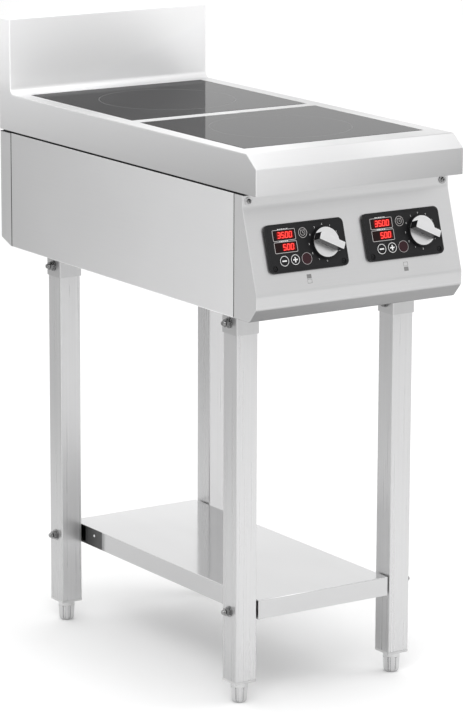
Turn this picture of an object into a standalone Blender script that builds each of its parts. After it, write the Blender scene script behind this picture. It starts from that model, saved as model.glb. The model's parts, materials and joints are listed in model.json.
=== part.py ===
"""Two-zone electric induction cooktop on an open four-leg stand.

Frame: +X is the cook's right, +Y runs away from the cook, +Z is up. The origin is on
the floor, in the middle of the width, 0 in Y at the front face of the worktop's nose.
The whole appliance is moved forward at the end, so that the origin lies under the
middle of its footprint. All lengths are in metres.
"""
import math

import bmesh
import bpy
from mathutils import Matrix, Vector

# ---------------------------------------------------------------- driving dimensions
FIT = 0.0003              # clearance between two pieces that touch or seat

WIDTH = 0.400             # worktop, left to right
DEPTH = 0.800             # worktop, nose to back
SURFACE_Z = 0.920         # cooking surface above the floor
TOP_SHEET = 0.0015        # worktop steel
SKIRT = 0.0635            # worktop edge, surface to lower rim
NOSE_DROP = 0.0210        # sloping front edge, its fall
NOSE_RUN = 0.0275         # sloping front edge, its run
SPLASH_RISE = 0.130       # splashback above the surface
SPLASH_DEPTH = 0.037      # splashback box, front to back
SPLASH_FOOT_R = 0.012     # rounded foot of the splashback
BEND_R = 0.0025           # outside radius of the worktop's folds

GLASS_THICK = 0.004
GLASS_SIDE = 0.028        # steel border left and right of the glass
GLASS_FRONT = 0.075       # nose to the front glass
FRONT_GLASS_DEPTH = 0.307
REAR_GLASS_DEPTH = 0.329
CROSSBAR = 0.027          # steel between the two glasses
JOINT = 0.002             # sealed joint around each glass
LEDGE = 0.010             # support ledge under each glass
SEAL = 0.0009             # silicone under the glass

BODY_DROP = 0.266         # surface to the underside of the body
BODY_INSET = 0.0008       # body side, in from the worktop side
BODY_GAP = 0.0035         # shadow gap under the worktop's rim
BODY_SHEET = 0.0012
BODY_STEP = 0.0045        # body walls step inwards behind the worktop's rim
LIP = 0.015               # shelf lip at the top of the body walls
LIP_DROP = 0.040          # surface to the lip
SEAM = 0.0020             # seams between the body's panels

FASCIA_SETBACK = 0.039    # upper strip, back from the nose
STRIP_DROP = 0.0876       # surface to the fold under the upper strip
FACE_AHEAD = 0.002        # fascia's upright face, ahead of the nose
SLANT_DROP = 0.2210       # surface to the lower end of the slanted face
FRONT_DROP = 0.2430       # surface to the lower end of the upright face
FRONT_CHAMFER = 0.020     # run of the bottom chamfer
FASCIA_RETURN = 0.0615    # nose to the back edge of the fascia's cheeks
REAR_RETURN = 0.036       # rear panel's side returns
REAR_CHAMFER_RUN = 0.032
REAR_CHAMFER_RISE = 0.012

LEG = 0.040               # square leg tube
LEG_WALL = 0.0015
LEG_IN_X = 0.0275         # leg's outer face, in from the worktop side
LEG_FRONT = 0.093         # front legs' front face, back from the nose
LEG_BACK = 0.1155         # rear legs' rear face, in from the back
SOCKET_WALL = 0.0017
SOCKET_DROP = 0.038       # socket below the body
PLUG = 0.025              # threaded plug in the leg's lower end
FOOT_H = 0.035            # foot below the leg
FOOT_R = 0.0142
STEM_R = 0.004
BOLT_R = 0.004
WASHER_R = 0.009
WASHER_T = 0.0016
NUT_AF = 0.013
NUT_T = 0.0065
THREAD_END = 0.005
SOCKET_BOLT_DROP = 0.0195  # bolt below the body's underside

SHELF_Z = 0.172
SHELF_FLANGE = 0.032
SHELF_SHEET = 0.0012
SHELF_GAP = 0.0035        # between shelf flange and leg
SHELF_BOLT_DROP = 0.016

# control modules, in their own frames: x right, y up the slope, z out of the face
PANEL_X = 0.0935          # module centre from the middle
PANEL_S = 0.0695          # module centre below the slant's upper fold, along the slope
BEZEL_W = 0.150
BEZEL_H = 0.0775
BEZEL_T = 0.005
BEZEL_WALL = 0.002
BEZEL_R = 0.009
RECESS = 0.0005
RECESS_EDGE = 0.0035
OPENING_W = 0.122         # opening in the fascia behind the bezel
OPENING_H = 0.060
POSTS = ((-0.058, -0.014), (0.0100, -0.0265), (0.057, -0.0265), (0.057, 0.0265))
POST_R = 0.002
DISPLAY = (0.0405, 0.0154)
DISPLAY_UPPER = (-0.0397, 0.0207)
DISPLAY_LOWER = (-0.0393, 0.0013)
INDICATOR = (-0.0038, -0.0203)
INDICATOR_R = 0.0098
TIMER_KEY = (-0.0046, 0.0209)
MINUS_KEY = (-0.0466, -0.0203)
PLUS_KEY = (-0.0260, -0.0200)
KEY_R = 0.0087
KEY_FLANGE = 0.0011
KEY_PROUD = 0.0008
KEY_STEM_R = 0.0025
KEY_TRAVEL = 0.0005
KNOB = (0.0340, 0.0015)
KNOB_R = 0.0255
KNOB_BASE_T = 0.0055
KNOB_GRIP_W = 0.0120
KNOB_GRIP_L = 0.0474
KNOB_TOP = 0.0287         # grip's top above the fascia
KNOB_REST = math.radians(-27)
KNOB_FACE_T = 0.0010
KNOB_HUB_R = 0.0058
SHAFT_R = 0.003
SCREW_AT = (0.0652, -0.0312)
SCREW_R = 0.0017
SCREW_HEAD_R = 0.0042
BOARD_BACK = 0.0160       # control board's back, behind the face
BOARD_T = 0.0016

COIL_R = 0.110
COIL_BORE = 0.028
COIL_T = 0.007
COIL_GAP = 0.0016         # coil below the glass
CARRIER_T = 0.004
FERRITE_T = 0.006
TRAY_SHEET = 0.0015

FAN = 0.092
FAN_T = 0.025
FAN_BORE = 0.043
FAN_Y = 0.175             # fan centre, back from the nose
MODULE_X = 0.097          # power module centre from the middle
BOARD_W = 0.150
BOARD_L = 0.300
BOARD_Y = 0.270           # power board's front edge, back from the nose
STANDOFF = 0.010
SINK_W = 0.060
SINK_L = 0.200
SINK_H = 0.050
FIN_T = 0.002
FINS = 8
GLAND_AT = (0.090, 0.715)  # cable gland in the underside: x, and distance from the nose
GLAND_R = 0.012
GLAND_BORE = 0.006

# ---------------------------------------------------------------- derived levels
BODY_Z = SURFACE_Z - BODY_DROP
RIM_Z = SURFACE_Z - SKIRT
BODY_TOP = RIM_Z - BODY_GAP
BODY_X = WIDTH / 2 - BODY_INSET
STEP_X = BODY_X - BODY_STEP
LIP_Z = SURFACE_Z - LIP_DROP
SPLASH_Y = DEPTH - SPLASH_DEPTH
GLASS_X = WIDTH / 2 - GLASS_SIDE
REAR_GLASS = GLASS_FRONT + FRONT_GLASS_DEPTH + CROSSBAR
CHASSIS_Y = (FASCIA_RETURN + SEAM, DEPTH - REAR_RETURN - SEAM)
LEG_X = WIDTH / 2 - LEG_IN_X - LEG / 2
LEG_YS = (LEG_FRONT + LEG / 2, DEPTH - LEG_BACK - LEG / 2)
LEG_TOP = BODY_Z - 2 * FIT
LEG_SPOTS = {"front_left": (-LEG_X, LEG_YS[0]), "front_right": (LEG_X, LEG_YS[0]),
             "rear_left": (-LEG_X, LEG_YS[1]), "rear_right": (LEG_X, LEG_YS[1])}
SOCKET_HALF = LEG / 2 + FIT + SOCKET_WALL
SHELF_X = LEG_X - LEG / 2 - SHELF_GAP
SLANT_TOP = Vector((0.0, FASCIA_SETBACK, SURFACE_Z - STRIP_DROP))
SLANT_LOW = Vector((0.0, -FACE_AHEAD, SURFACE_Z - SLANT_DROP))
SLANT_TILT = math.atan2(FASCIA_SETBACK + FACE_AHEAD, SLANT_DROP - STRIP_DROP)
FACE_Z = BEZEL_T - RECESS
CEILING_Z = BEZEL_T - BEZEL_WALL
TRAY_Z = LIP_Z + FIT
COIL_TOP = SURFACE_Z - GLASS_THICK - COIL_GAP
COIL_Z = COIL_TOP - COIL_T
ZONES = {"front": GLASS_FRONT + FRONT_GLASS_DEPTH / 2, "rear": REAR_GLASS + REAR_GLASS_DEPTH / 2}
FLOOR_Z = BODY_Z + BODY_SHEET    # inside of the body's bottom


# ---------------------------------------------------------------- modelling helpers
def clear_scene():
    for obj in list(bpy.data.objects):
        bpy.data.objects.remove(obj, do_unlink=True)


def add_object(name, bm):
    """Turns a bmesh into an object of the scene, with outward faces."""
    bmesh.ops.recalc_face_normals(bm, faces=bm.faces)
    mesh = bpy.data.meshes.new(name)
    bm.to_mesh(mesh)
    bm.free()
    obj = bpy.data.objects.new(name, mesh)
    bpy.context.scene.collection.objects.link(obj)
    return obj


def prism(name, outline, low, high, axis="Z"):
    """Extrudes a flat outline. Its two coordinates are (y, z), (x, z) or (x, y)."""
    spots = {"X": lambda a, b, t: (t, a, b),
             "Y": lambda a, b, t: (a, t, b),
             "Z": lambda a, b, t: (a, b, t)}[axis]
    bm = bmesh.new()
    face = bm.faces.new([bm.verts.new(spots(a, b, low)) for a, b in outline])
    moved = bmesh.ops.extrude_face_region(bm, geom=[face])["geom"]
    shift = Vector(spots(0, 0, high)) - Vector(spots(0, 0, low))
    bmesh.ops.translate(bm, vec=shift, verts=[v for v in moved if isinstance(v, bmesh.types.BMVert)])
    return add_object(name, bm)


def block(name, low, high):
    corners = [(low[0], low[1]), (high[0], low[1]), (high[0], high[1]), (low[0], high[1])]
    return prism(name, corners, low[2], high[2])


def circle(radius, count, centre=(0.0, 0.0), turn=0.0):
    return [(centre[0] + radius * math.cos(turn + math.tau * i / count),
             centre[1] + radius * math.sin(turn + math.tau * i / count)) for i in range(count)]


def rounded(width, height, radius, steps=3, centre=(0.0, 0.0)):
    """Outline of a rectangle with rounded corners."""
    points = []
    for corner, (sx, sy) in enumerate(((1, 1), (-1, 1), (-1, -1), (1, -1))):
        cx, cy = sx * (width / 2 - radius), sy * (height / 2 - radius)
        for i in range(steps + 1):
            a = math.pi / 2 * (corner + i / steps)
            points.append((centre[0] + cx + radius * math.cos(a),
                           centre[1] + cy + radius * math.sin(a)))
    return points


def disc(name, radius, low, high, count=24, centre=(0.0, 0.0), axis="Z", turn=0.0):
    return prism(name, circle(radius, count, centre, turn), low, high, axis)


def turned(name, profile, count=24):
    """Spins an (r, z) profile, from axis to axis, about Z."""
    bm = bmesh.new()
    verts = [bm.verts.new((r, 0, z)) for r, z in profile]
    edges = [bm.edges.new(pair) for pair in zip(verts, verts[1:])]
    bmesh.ops.spin(bm, geom=verts + edges, cent=(0, 0, 0), axis=(0, 0, 1),
                   angle=math.tau, steps=count, use_duplicate=False)
    bmesh.ops.remove_doubles(bm, verts=bm.verts, dist=1e-6)
    return add_object(name, bm)


def boolean(target, tool, operation):
    """Applies one Boolean and removes its tool."""
    modifier = target.modifiers.new(operation.title(), "BOOLEAN")
    modifier.operation = operation
    modifier.solver = "EXACT"
    modifier.object = tool
    bpy.context.view_layer.update()
    graph = bpy.context.evaluated_depsgraph_get()
    mesh = bpy.data.meshes.new_from_object(target.evaluated_get(graph))
    target.modifiers.clear()
    target.data = mesh
    bpy.data.objects.remove(tool, do_unlink=True)
    return target


def cut(target, *tools):
    for tool in tools:
        boolean(target, tool, "DIFFERENCE")
    return target


def join(target, *tools):
    for tool in tools:
        boolean(target, tool, "UNION")
    return target


def copy_of(obj, name):
    twin = bpy.data.objects.new(name, obj.data)
    bpy.context.scene.collection.objects.link(twin)
    return twin


def bevelled(obj, width, segments, angle=25):
    modifier = obj.modifiers.new("Bevel", "BEVEL")
    modifier.width = width
    modifier.segments = segments
    modifier.limit_method = "ANGLE"
    modifier.angle_limit = math.radians(angle)
    bpy.context.view_layer.update()
    graph = bpy.context.evaluated_depsgraph_get()
    mesh = bpy.data.meshes.new_from_object(obj.evaluated_get(graph))
    obj.modifiers.clear()
    obj.data = mesh
    return obj


def material(name, colour, roughness, metallic=0.0, alpha=1.0):
    mat = bpy.data.materials.get(name) or bpy.data.materials.new(name)
    mat.use_nodes = True
    shader = mat.node_tree.nodes["Principled BSDF"]
    shader.inputs["Base Color"].default_value = (*colour, 1.0)
    shader.inputs["Roughness"].default_value = roughness
    shader.inputs["Metallic"].default_value = metallic
    shader.inputs["Alpha"].default_value = alpha
    return mat


def steel(name, shade=0.62, roughness=0.32):
    return material(name, (shade, shade, shade * 1.01), roughness, 1.0)


def dress(obj, mat, smooth=True):
    """Gives a finished piece its one material and its shading."""
    obj.data.materials.clear()
    obj.data.materials.append(mat)
    for polygon in obj.data.polygons:
        polygon.material_index = 0
    if smooth:
        obj.data.shade_smooth()
        obj.data.set_sharp_from_angle(angle=math.radians(30))
    return obj


# ---------------------------------------------------------------- worktop and glass
def glass_opening(zone):
    """Low and high corners of the opening around one glass, in plan."""
    start, length = {"front": (GLASS_FRONT, FRONT_GLASS_DEPTH),
                     "rear": (REAR_GLASS, REAR_GLASS_DEPTH)}[zone]
    return (-GLASS_X - JOINT, start - JOINT), (GLASS_X + JOINT, start + length + JOINT)


def worktop_profile(inset, low):
    """Side view of the worktop, set in by the sheet's thickness, down to low."""
    t, r = inset, SPLASH_FOOT_R
    nose = math.atan2(NOSE_DROP, NOSE_RUN)
    side = t * math.tan((math.pi / 2 - nose) / 2)
    flat = t * math.tan(nose / 2)
    foot = [(SPLASH_Y - r + (r + t) * math.sin(a), SURFACE_Z + r - (r + t) * math.cos(a))
            for a in (math.pi / 2 * i / 4 for i in range(5))]
    return [(t, low), (t, SURFACE_Z - NOSE_DROP - side), (NOSE_RUN + flat, SURFACE_Z - t)] + foot + [
        (SPLASH_Y + t, SURFACE_Z + SPLASH_RISE - t), (DEPTH - t, SURFACE_Z + SPLASH_RISE - t),
        (DEPTH - t, low)]


def make_worktop():
    half = WIDTH / 2
    deep = RIM_Z - 0.02
    top = prism("worktop", worktop_profile(0.0, deep), -half, half, "X")
    bevelled(top, BEND_R, 2, 25)
    cut(top, prism("hollow", worktop_profile(TOP_SHEET, deep - 0.01),
                   -half + TOP_SHEET, half - TOP_SHEET, "X"))
    ledge_low = SURFACE_Z - GLASS_THICK - SEAL - 2 * FIT - TOP_SHEET
    for zone in ZONES:
        (x0, y0), (x1, y1) = glass_opening(zone)
        t = TOP_SHEET
        join(top, block("ledge", (x0 - t, y0 - t, ledge_low), (x1 + t, y1 + t, SURFACE_Z - t / 2)))
        cut(top,
            block("pocket", (x0, y0, ledge_low + t), (x1, y1, SURFACE_Z + 0.01)),
            block("window", (x0 + JOINT + LEDGE, y0 + JOINT + LEDGE, ledge_low - 0.01),
                  (x1 - JOINT - LEDGE, y1 - JOINT - LEDGE, SURFACE_Z + 0.01)))
    cut(top, block("trim", (-half - 0.01, -0.01, deep - 0.02), (half + 0.01, DEPTH + 0.01, RIM_Z)))
    return dress(top, steel("worktop_steel", 0.66, 0.30))


def make_glass(zone):
    (x0, y0), (x1, y1) = glass_opening(zone)
    j = JOINT
    plate = block("glass_" + zone, (x0 + j, y0 + j, SURFACE_Z - GLASS_THICK), (x1 - j, y1 - j, SURFACE_Z))
    bevelled(plate, 0.0006, 1, 30)
    return dress(plate, material("glass_" + zone, (0.055, 0.055, 0.058), 0.06))


def make_gasket(zone):
    """Silicone joint: a wall around the glass and a lip under it."""
    (x0, y0), (x1, y1) = glass_opening(zone)
    f, j = FIT, JOINT
    low = SURFACE_Z - GLASS_THICK - SEAL - f
    seal = block("gasket_" + zone, (x0 + f, y0 + f, low), (x1 - f, y1 - f, SURFACE_Z - f))
    cut(seal,
        block("seat", (x0 + j - f, y0 + j - f, low + SEAL), (x1 - j + f, y1 - j + f, SURFACE_Z + 0.01)),
        block("open", (x0 + j + LEDGE, y0 + j + LEDGE, low - 0.01),
              (x1 - j - LEDGE, y1 - j - LEDGE, SURFACE_Z)))
    return dress(seal, material("silicone", (0.30, 0.30, 0.31), 0.6), False)


# ---------------------------------------------------------------- body panels
def make_chassis():
    """Folded bottom and sides, with the four leg sockets welded underneath."""
    t = BODY_SHEET
    y0, y1 = CHASSIS_Y
    outer = [(STEP_X - LIP, LIP_Z), (STEP_X, LIP_Z), (STEP_X, BODY_TOP + 0.003), (BODY_X, BODY_TOP),
             (BODY_X, BODY_Z)]
    inner = [(BODY_X - t, BODY_Z + t), (BODY_X - t, BODY_TOP - t / 2), (STEP_X - t, BODY_TOP + 0.003 - t / 2),
             (STEP_X - t, LIP_Z - t), (STEP_X - LIP, LIP_Z - t)]
    mirror = lambda points: [(-x, z) for x, z in reversed(points)]
    tray = prism("chassis", outer + mirror(outer) + mirror(inner) + inner, y0, y1, "Y")
    for x, y in LEG_SPOTS.values():
        h = SOCKET_HALF
        join(tray, block("socket", (x - h, y - h, BODY_Z - SOCKET_DROP), (x + h, y + h, BODY_Z + t / 2)))
        g = LEG / 2 + FIT
        cut(tray, block("bore", (x - g, y - g, BODY_Z - SOCKET_DROP - 0.01), (x + g, y + g, BODY_Z)),
            disc("bolt_hole", BOLT_R + FIT, x - h - 0.01, x + h + 0.01, 8,
                 (y, BODY_Z - SOCKET_BOLT_DROP), "X"))
    for side in (-1, 1):
        for i in range(6):
            y = FAN_Y + (i - 2.5) * 0.014
            cut(tray, block("intake", (side * MODULE_X - 0.038, y - 0.0025, BODY_Z - 0.01),
                            (side * MODULE_X + 0.038, y + 0.0025, BODY_Z + 0.01)))
    cut(tray, disc("gland_hole", GLAND_R * 0.75 + FIT, BODY_Z - 0.01, BODY_Z + 0.01, 12, GLAND_AT))
    return dress(tray, steel("chassis_steel", 0.60, 0.32), False)


def make_rear_panel():
    t = BODY_SHEET
    front = DEPTH - REAR_RETURN
    bend = t * math.tan(math.atan2(REAR_CHAMFER_RUN, REAR_CHAMFER_RISE) / 2)
    foot = t * math.tan(math.atan2(REAR_CHAMFER_RISE, REAR_CHAMFER_RUN) / 2)
    outer = [(front, BODY_TOP), (DEPTH, BODY_TOP), (DEPTH, BODY_Z + REAR_CHAMFER_RISE),
             (DEPTH - REAR_CHAMFER_RUN, BODY_Z), (front, BODY_Z)]
    inner = [(front - 0.02, BODY_TOP + 0.02), (DEPTH - t, BODY_TOP + 0.02),
             (DEPTH - t, BODY_Z + REAR_CHAMFER_RISE + bend), (DEPTH - REAR_CHAMFER_RUN - foot, BODY_Z + t),
             (front - 0.02, BODY_Z + t)]
    panel = prism("rear_panel", outer, -BODY_X, BODY_X, "X")
    cut(panel, prism("hollow", inner, -BODY_X + t, BODY_X - t, "X"))
    up = (STEP_X - 0.008, DEPTH - BODY_STEP)
    join(panel,
         block("step", (-up[0], up[1] - t, BODY_TOP - t), (up[0], DEPTH - t / 2, BODY_TOP - t / 8)),
         block("upstand", (-up[0], up[1] - t * 0.9, BODY_TOP - t / 2), (up[0], up[1], LIP_Z)))
    for side in (-1, 1):
        for i in range(6):
            z = BODY_Z + 0.080 + i * 0.015
            cut(panel, block("vent", (side * MODULE_X - 0.05, DEPTH - 0.01, z - 0.002),
                             (side * MODULE_X + 0.05, DEPTH + 0.01, z + 0.002)))
    return dress(panel, steel("rear_steel", 0.58, 0.34), False)


def fascia_front(inset):
    """Front line of the fascia from top to bottom, set in by inset, as (y, z)."""
    t = inset
    tilt = SLANT_TILT
    ahead = -FACE_AHEAD
    under = math.atan2(FRONT_CHAMFER, BODY_DROP - FRONT_DROP)
    a, b = t * math.tan(tilt / 2), t * math.tan(under / 2)
    c = t * math.tan((math.pi / 2 - under) / 2)
    return [(FASCIA_SETBACK + t, SURFACE_Z - STRIP_DROP - a), (ahead + t, SURFACE_Z - SLANT_DROP + a),
            (ahead + t, SURFACE_Z - FRONT_DROP + b), (ahead + FRONT_CHAMFER + c, BODY_Z + t)]


def panel_matrix(side):
    """Frame of a control module, on the outside of the slanted face."""
    down = (SLANT_LOW - SLANT_TOP).normalized()
    spot = SLANT_TOP + down * PANEL_S
    spot.x = side * PANEL_X
    return Matrix.Translation(spot) @ Matrix.Rotation(math.pi / 2 - SLANT_TILT, 4, "X")


def on_panel(obj, side):
    obj.matrix_world = panel_matrix(side)
    return obj


def make_fascia():
    t, back, over = BODY_SHEET, FASCIA_RETURN, 0.02
    outer = [(back, BODY_TOP), (FASCIA_SETBACK, BODY_TOP)] + fascia_front(0.0) + [(back, BODY_Z)]
    inner = [(back + over, BODY_TOP + over), (FASCIA_SETBACK + t, BODY_TOP + over)] + fascia_front(t) + [
        (back + over, BODY_Z + t)]
    panel = prism("control_fascia", outer, -BODY_X, BODY_X, "X")
    cut(panel, prism("hollow", inner, -BODY_X + t, BODY_X - t, "X"))
    up = STEP_X - 0.008
    join(panel, block("upstand", (-up, FASCIA_SETBACK + t * 0.05, BODY_TOP - 0.004),
                      (up, FASCIA_SETBACK + t * 0.95, LIP_Z)))
    for side in (-1, 1):
        hole = prism("opening", rounded(OPENING_W, OPENING_H, 0.002, 1), -0.01, 0.01)
        cut(panel, on_panel(hole, side))
        for edge in (-1, 1):
            spot = (edge * SCREW_AT[0], SCREW_AT[1])
            cut(panel, on_panel(disc("screw_hole", SCREW_R, -0.01, 0.01, 8, spot), side))
    return dress(panel, steel("fascia_steel", 0.66, 0.30), False)


# ---------------------------------------------------------------- control modules
def make_bezel(side, parent):
    """Moulded bezel: a shell on the face, posts for the circuit board, screw seats."""
    r = BEZEL_R
    bezel = prism("bezel_" + side, rounded(BEZEL_W, BEZEL_H, r, 3), FIT, BEZEL_T)
    bevelled(bezel, 0.0010, 1, 60)
    w = BEZEL_WALL
    cut(bezel, prism("hollow", rounded(BEZEL_W - 2 * w, BEZEL_H - 2 * w, r - w, 1), -0.01, CEILING_Z),
        prism("recess", rounded(BEZEL_W - 2 * RECESS_EDGE, BEZEL_H - 2 * RECESS_EDGE, r - RECESS_EDGE, 2),
              FACE_Z, BEZEL_T + 0.01))
    for spot in POSTS:
        join(bezel, disc("post", POST_R, -BOARD_BACK + BOARD_T + FIT, CEILING_Z + 0.0005, 6, spot))
    for edge in (-1, 1):
        spot = (edge * SCREW_AT[0], SCREW_AT[1])
        join(bezel, disc("seat", SCREW_HEAD_R + 0.0012, FIT * 2, CEILING_Z + 0.0005, 12, spot))
        cut(bezel, disc("counterbore", SCREW_HEAD_R + FIT, BEZEL_T - 0.0028, BEZEL_T + 0.01, 12, spot),
            disc("screw_hole", SCREW_R, -0.01, BEZEL_T + 0.01, 6, spot))
    high = BEZEL_T + 0.01
    low = CEILING_Z - 0.0001
    for centre in (DISPLAY_UPPER, DISPLAY_LOWER):
        cut(bezel, prism("window", rounded(DISPLAY[0] + 2 * FIT, DISPLAY[1] + 2 * FIT, 0.001, 1, centre),
                         low, high))
    cut(bezel, disc("lamp_hole", INDICATOR_R + FIT, low, high, 16, INDICATOR),
        disc("shaft_hole", SHAFT_R + 0.001, low, high, 10, KNOB))
    for centre in (TIMER_KEY, MINUS_KEY, PLUS_KEY):
        cut(bezel, disc("key_hole", KEY_R + FIT, low, high, 16, centre))
    bezel.parent = parent
    return dress(bezel, material("bezel_black", (0.030, 0.030, 0.032), 0.42))


def make_lens(side, parent):
    """One red moulding: a backing plate, two display panes and the round lamp pane."""
    top = CEILING_Z - FIT
    low = top - 0.0015
    x1 = DISPLAY_UPPER[0] + DISPLAY[0] / 2 + 0.0015
    x0 = DISPLAY_UPPER[0] - DISPLAY[0] / 2 - 0.0015
    y1 = DISPLAY_UPPER[1] + DISPLAY[1] / 2 + 0.0007
    y0 = PLUS_KEY[1] + KEY_R + KEY_FLANGE + 0.0015
    lens = block("display_lens_" + side, (x0, y0, low), (x1, y1, top))
    reach = INDICATOR[0] + 0.002
    join(lens,
         block("arm", (x1 - 0.004, y0 + 0.0001, low + 0.0001), (reach, y0 + 0.006, top - 0.0001)),
         block("leg", (reach - 0.010, INDICATOR[1] + 0.004, low + 0.0002),
               (reach - 0.0001, y0 + 0.005, top - 0.0002)),
         disc("lamp", INDICATOR_R + 0.001, low + 0.0003, top - 0.0003, 16, INDICATOR),
         disc("lamp_pane", INDICATOR_R, top - 0.0010, FACE_Z + FIT, 16, INDICATOR))
    for centre in (DISPLAY_UPPER, DISPLAY_LOWER):
        pane = rounded(DISPLAY[0], DISPLAY[1], 0.001, 1, centre)
        join(lens, prism("pane", pane, top - 0.0010, FACE_Z + FIT))
    lens.parent = parent
    return dress(lens, material("lens_red", (0.16, 0.008, 0.012), 0.15))


def make_key(name, centre, parent):
    """Round key: cap through the bezel, flange behind it, stem down to its switch."""
    switch_top = -BOARD_BACK + BOARD_T + 0.0055
    low = switch_top + FIT + KEY_TRAVEL
    under = CEILING_Z - FIT
    key = turned(name, [(0, FACE_Z + KEY_PROUD), (KEY_R - 0.0006, FACE_Z + KEY_PROUD),
                        (KEY_R, FACE_Z + KEY_PROUD - 0.0005), (KEY_R, under), (KEY_R + KEY_FLANGE, under),
                        (KEY_R + KEY_FLANGE, under - 0.0012), (KEY_STEM_R, under - 0.0012),
                        (KEY_STEM_R, low), (0, low)], 16)
    key.parent = parent
    key.location = (*centre, 0.0)
    return dress(key, material("key_black", (0.022, 0.022, 0.024), 0.38))


def make_knob(side, parent):
    """Black moulding with skirt and grip, and its two bright inserts."""
    base = FACE_Z + 0.0012
    rim = base + KNOB_BASE_T
    seat = rim - KNOB_FACE_T
    top = KNOB_TOP
    knob = turned("knob_body_" + side, [
        (0, seat), (KNOB_R - 0.0012, seat), (KNOB_R - 0.0012, rim), (KNOB_R - 0.0004, rim),
        (KNOB_R, rim - 0.0006), (KNOB_R, base), (KNOB_R - 0.0012, base), (KNOB_R - 0.0012, seat - 0.0015),
        (0.0055, seat - 0.0015), (0.0055, base), (0, base)], 24)
    grip_l = KNOB_GRIP_L
    grip_low = rim + 2 * FIT
    grip = block("grip", (-grip_l / 2, -KNOB_GRIP_W / 2, grip_low),
                 (grip_l / 2, KNOB_GRIP_W / 2, top - KNOB_FACE_T))
    bevelled(grip, 0.0007, 1, 30)
    join(knob, disc("hub", KNOB_HUB_R, seat - 0.001, grip_low + 0.001, 12), grip)
    cut(knob, disc("shaft_bore", SHAFT_R + FIT, base - 0.01, base + 0.014, 10))
    f = FIT
    face = disc("knob_face_" + side, KNOB_R - 0.0012 - f, seat + f, rim + f, 24)
    cut(face, disc("hub_hole", KNOB_HUB_R + f, base, top, 12))
    inlay = block("knob_inlay_" + side,
                  (-grip_l / 2 + 0.0002, -KNOB_GRIP_W / 2 + 0.0002, top - KNOB_FACE_T + f),
                  (grip_l / 2 - 0.0002, KNOB_GRIP_W / 2 - 0.0002, top))
    bevelled(inlay, 0.0003, 1, 30)
    shaft_low = -BOARD_BACK + BOARD_T + 0.0075
    shaft = disc("encoder_shaft_" + side, SHAFT_R, shaft_low + f, base + 0.0135, 10)
    pieces = ((knob, material("knob_black", (0.020, 0.020, 0.022), 0.40)),
              (face, material("knob_silver", (0.72, 0.72, 0.72), 0.28, 1.0)),
              (inlay, material("knob_silver", (0.72, 0.72, 0.72), 0.28, 1.0)),
              (shaft, steel("shaft_steel", 0.6, 0.3)))
    for obj, mat in pieces:
        obj.parent = parent
        obj.location = (*KNOB, 0.0)
        obj.rotation_euler = (0.0, 0.0, KNOB_REST)
        dress(obj, mat)


def make_control_board(side, parent):
    """Circuit board with display blocks, key switches and the encoder's housing."""
    low = -BOARD_BACK
    top = low + BOARD_T
    w, h = OPENING_W / 2 - 0.001, OPENING_H / 2 - 0.0005
    board = block("control_board_" + side, (-w, -h, low), (w, h, top))
    soak = top - 0.0003
    for centre in (DISPLAY_UPPER, DISPLAY_LOWER):
        w, h = DISPLAY[0] / 2 - 0.001, DISPLAY[1] / 2 - 0.0005
        h = min(h, (DISPLAY_UPPER[1] - DISPLAY_LOWER[1]) / 2 - 0.0005)
        join(board, block("digits", (centre[0] - w, max(centre[1] - h, -0.027), soak),
                          (centre[0] + w, min(centre[1] + h, 0.0262), CEILING_Z - 0.0025)))
    for centre in (TIMER_KEY, MINUS_KEY, PLUS_KEY):
        join(board, block("switch", (centre[0] - 0.003, centre[1] - 0.003, soak),
                          (centre[0] + 0.003, centre[1] + 0.003, top + 0.0055)))
    join(board, block("encoder", (KNOB[0] - 0.0065, KNOB[1] - 0.0065, soak),
                      (KNOB[0] + 0.0065, KNOB[1] + 0.0065, top + 0.0075)),
         disc("lamp", 0.0025, soak, top + 0.006, 10, INDICATOR),
         block("header", (0.020, -0.026, low - 0.008), (0.050, -0.018, low + 0.0003)))
    board.parent = parent
    return dress(board, material("board_green", (0.03, 0.13, 0.06), 0.5), False)


def make_controls():
    for sign, side in ((-1, "left"), (1, "right")):
        frame = bpy.data.objects.new("panel_frame_" + side, None)
        bpy.context.scene.collection.objects.link(frame)
        frame.matrix_world = panel_matrix(sign)
        make_bezel(side, frame)
        make_lens(side, frame)
        make_key("timer_key_" + side, TIMER_KEY, frame)
        make_key("minus_key_" + side, MINUS_KEY, frame)
        make_key("plus_key_" + side, PLUS_KEY, frame)
        make_knob(side, frame)
        make_control_board(side, frame)


# ---------------------------------------------------------------- induction stage
def make_coil_tray():
    """Sheet across the body that carries both coils, resting on the side walls' lips."""
    x = STEP_X - BODY_SHEET - 0.001
    front, rear = CHASSIS_Y[0] + 0.004, DEPTH - REAR_RETURN - 0.016
    z0, z1 = TRAY_Z, TRAY_Z + TRAY_SHEET
    half = STEP_X - FIT
    tray = block("coil_tray", (-half, front, z0), (half, rear, z1))
    for y in ZONES.values():
        cut(tray, disc("duct", COIL_BORE, z0 - 0.01, z1 + 0.01, 16, (0.0, y)))
    for edge in (front, rear - TRAY_SHEET):
        join(tray, block("fold", (-x + LIP + 0.002, edge + 0.0001, z0 - 0.012),
                         (x - LIP - 0.002, edge + TRAY_SHEET - 0.0001, z0 + TRAY_SHEET / 2)))
    return dress(tray, material("tray_aluminium", (0.75, 0.75, 0.76), 0.4, 1.0), False)


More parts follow.
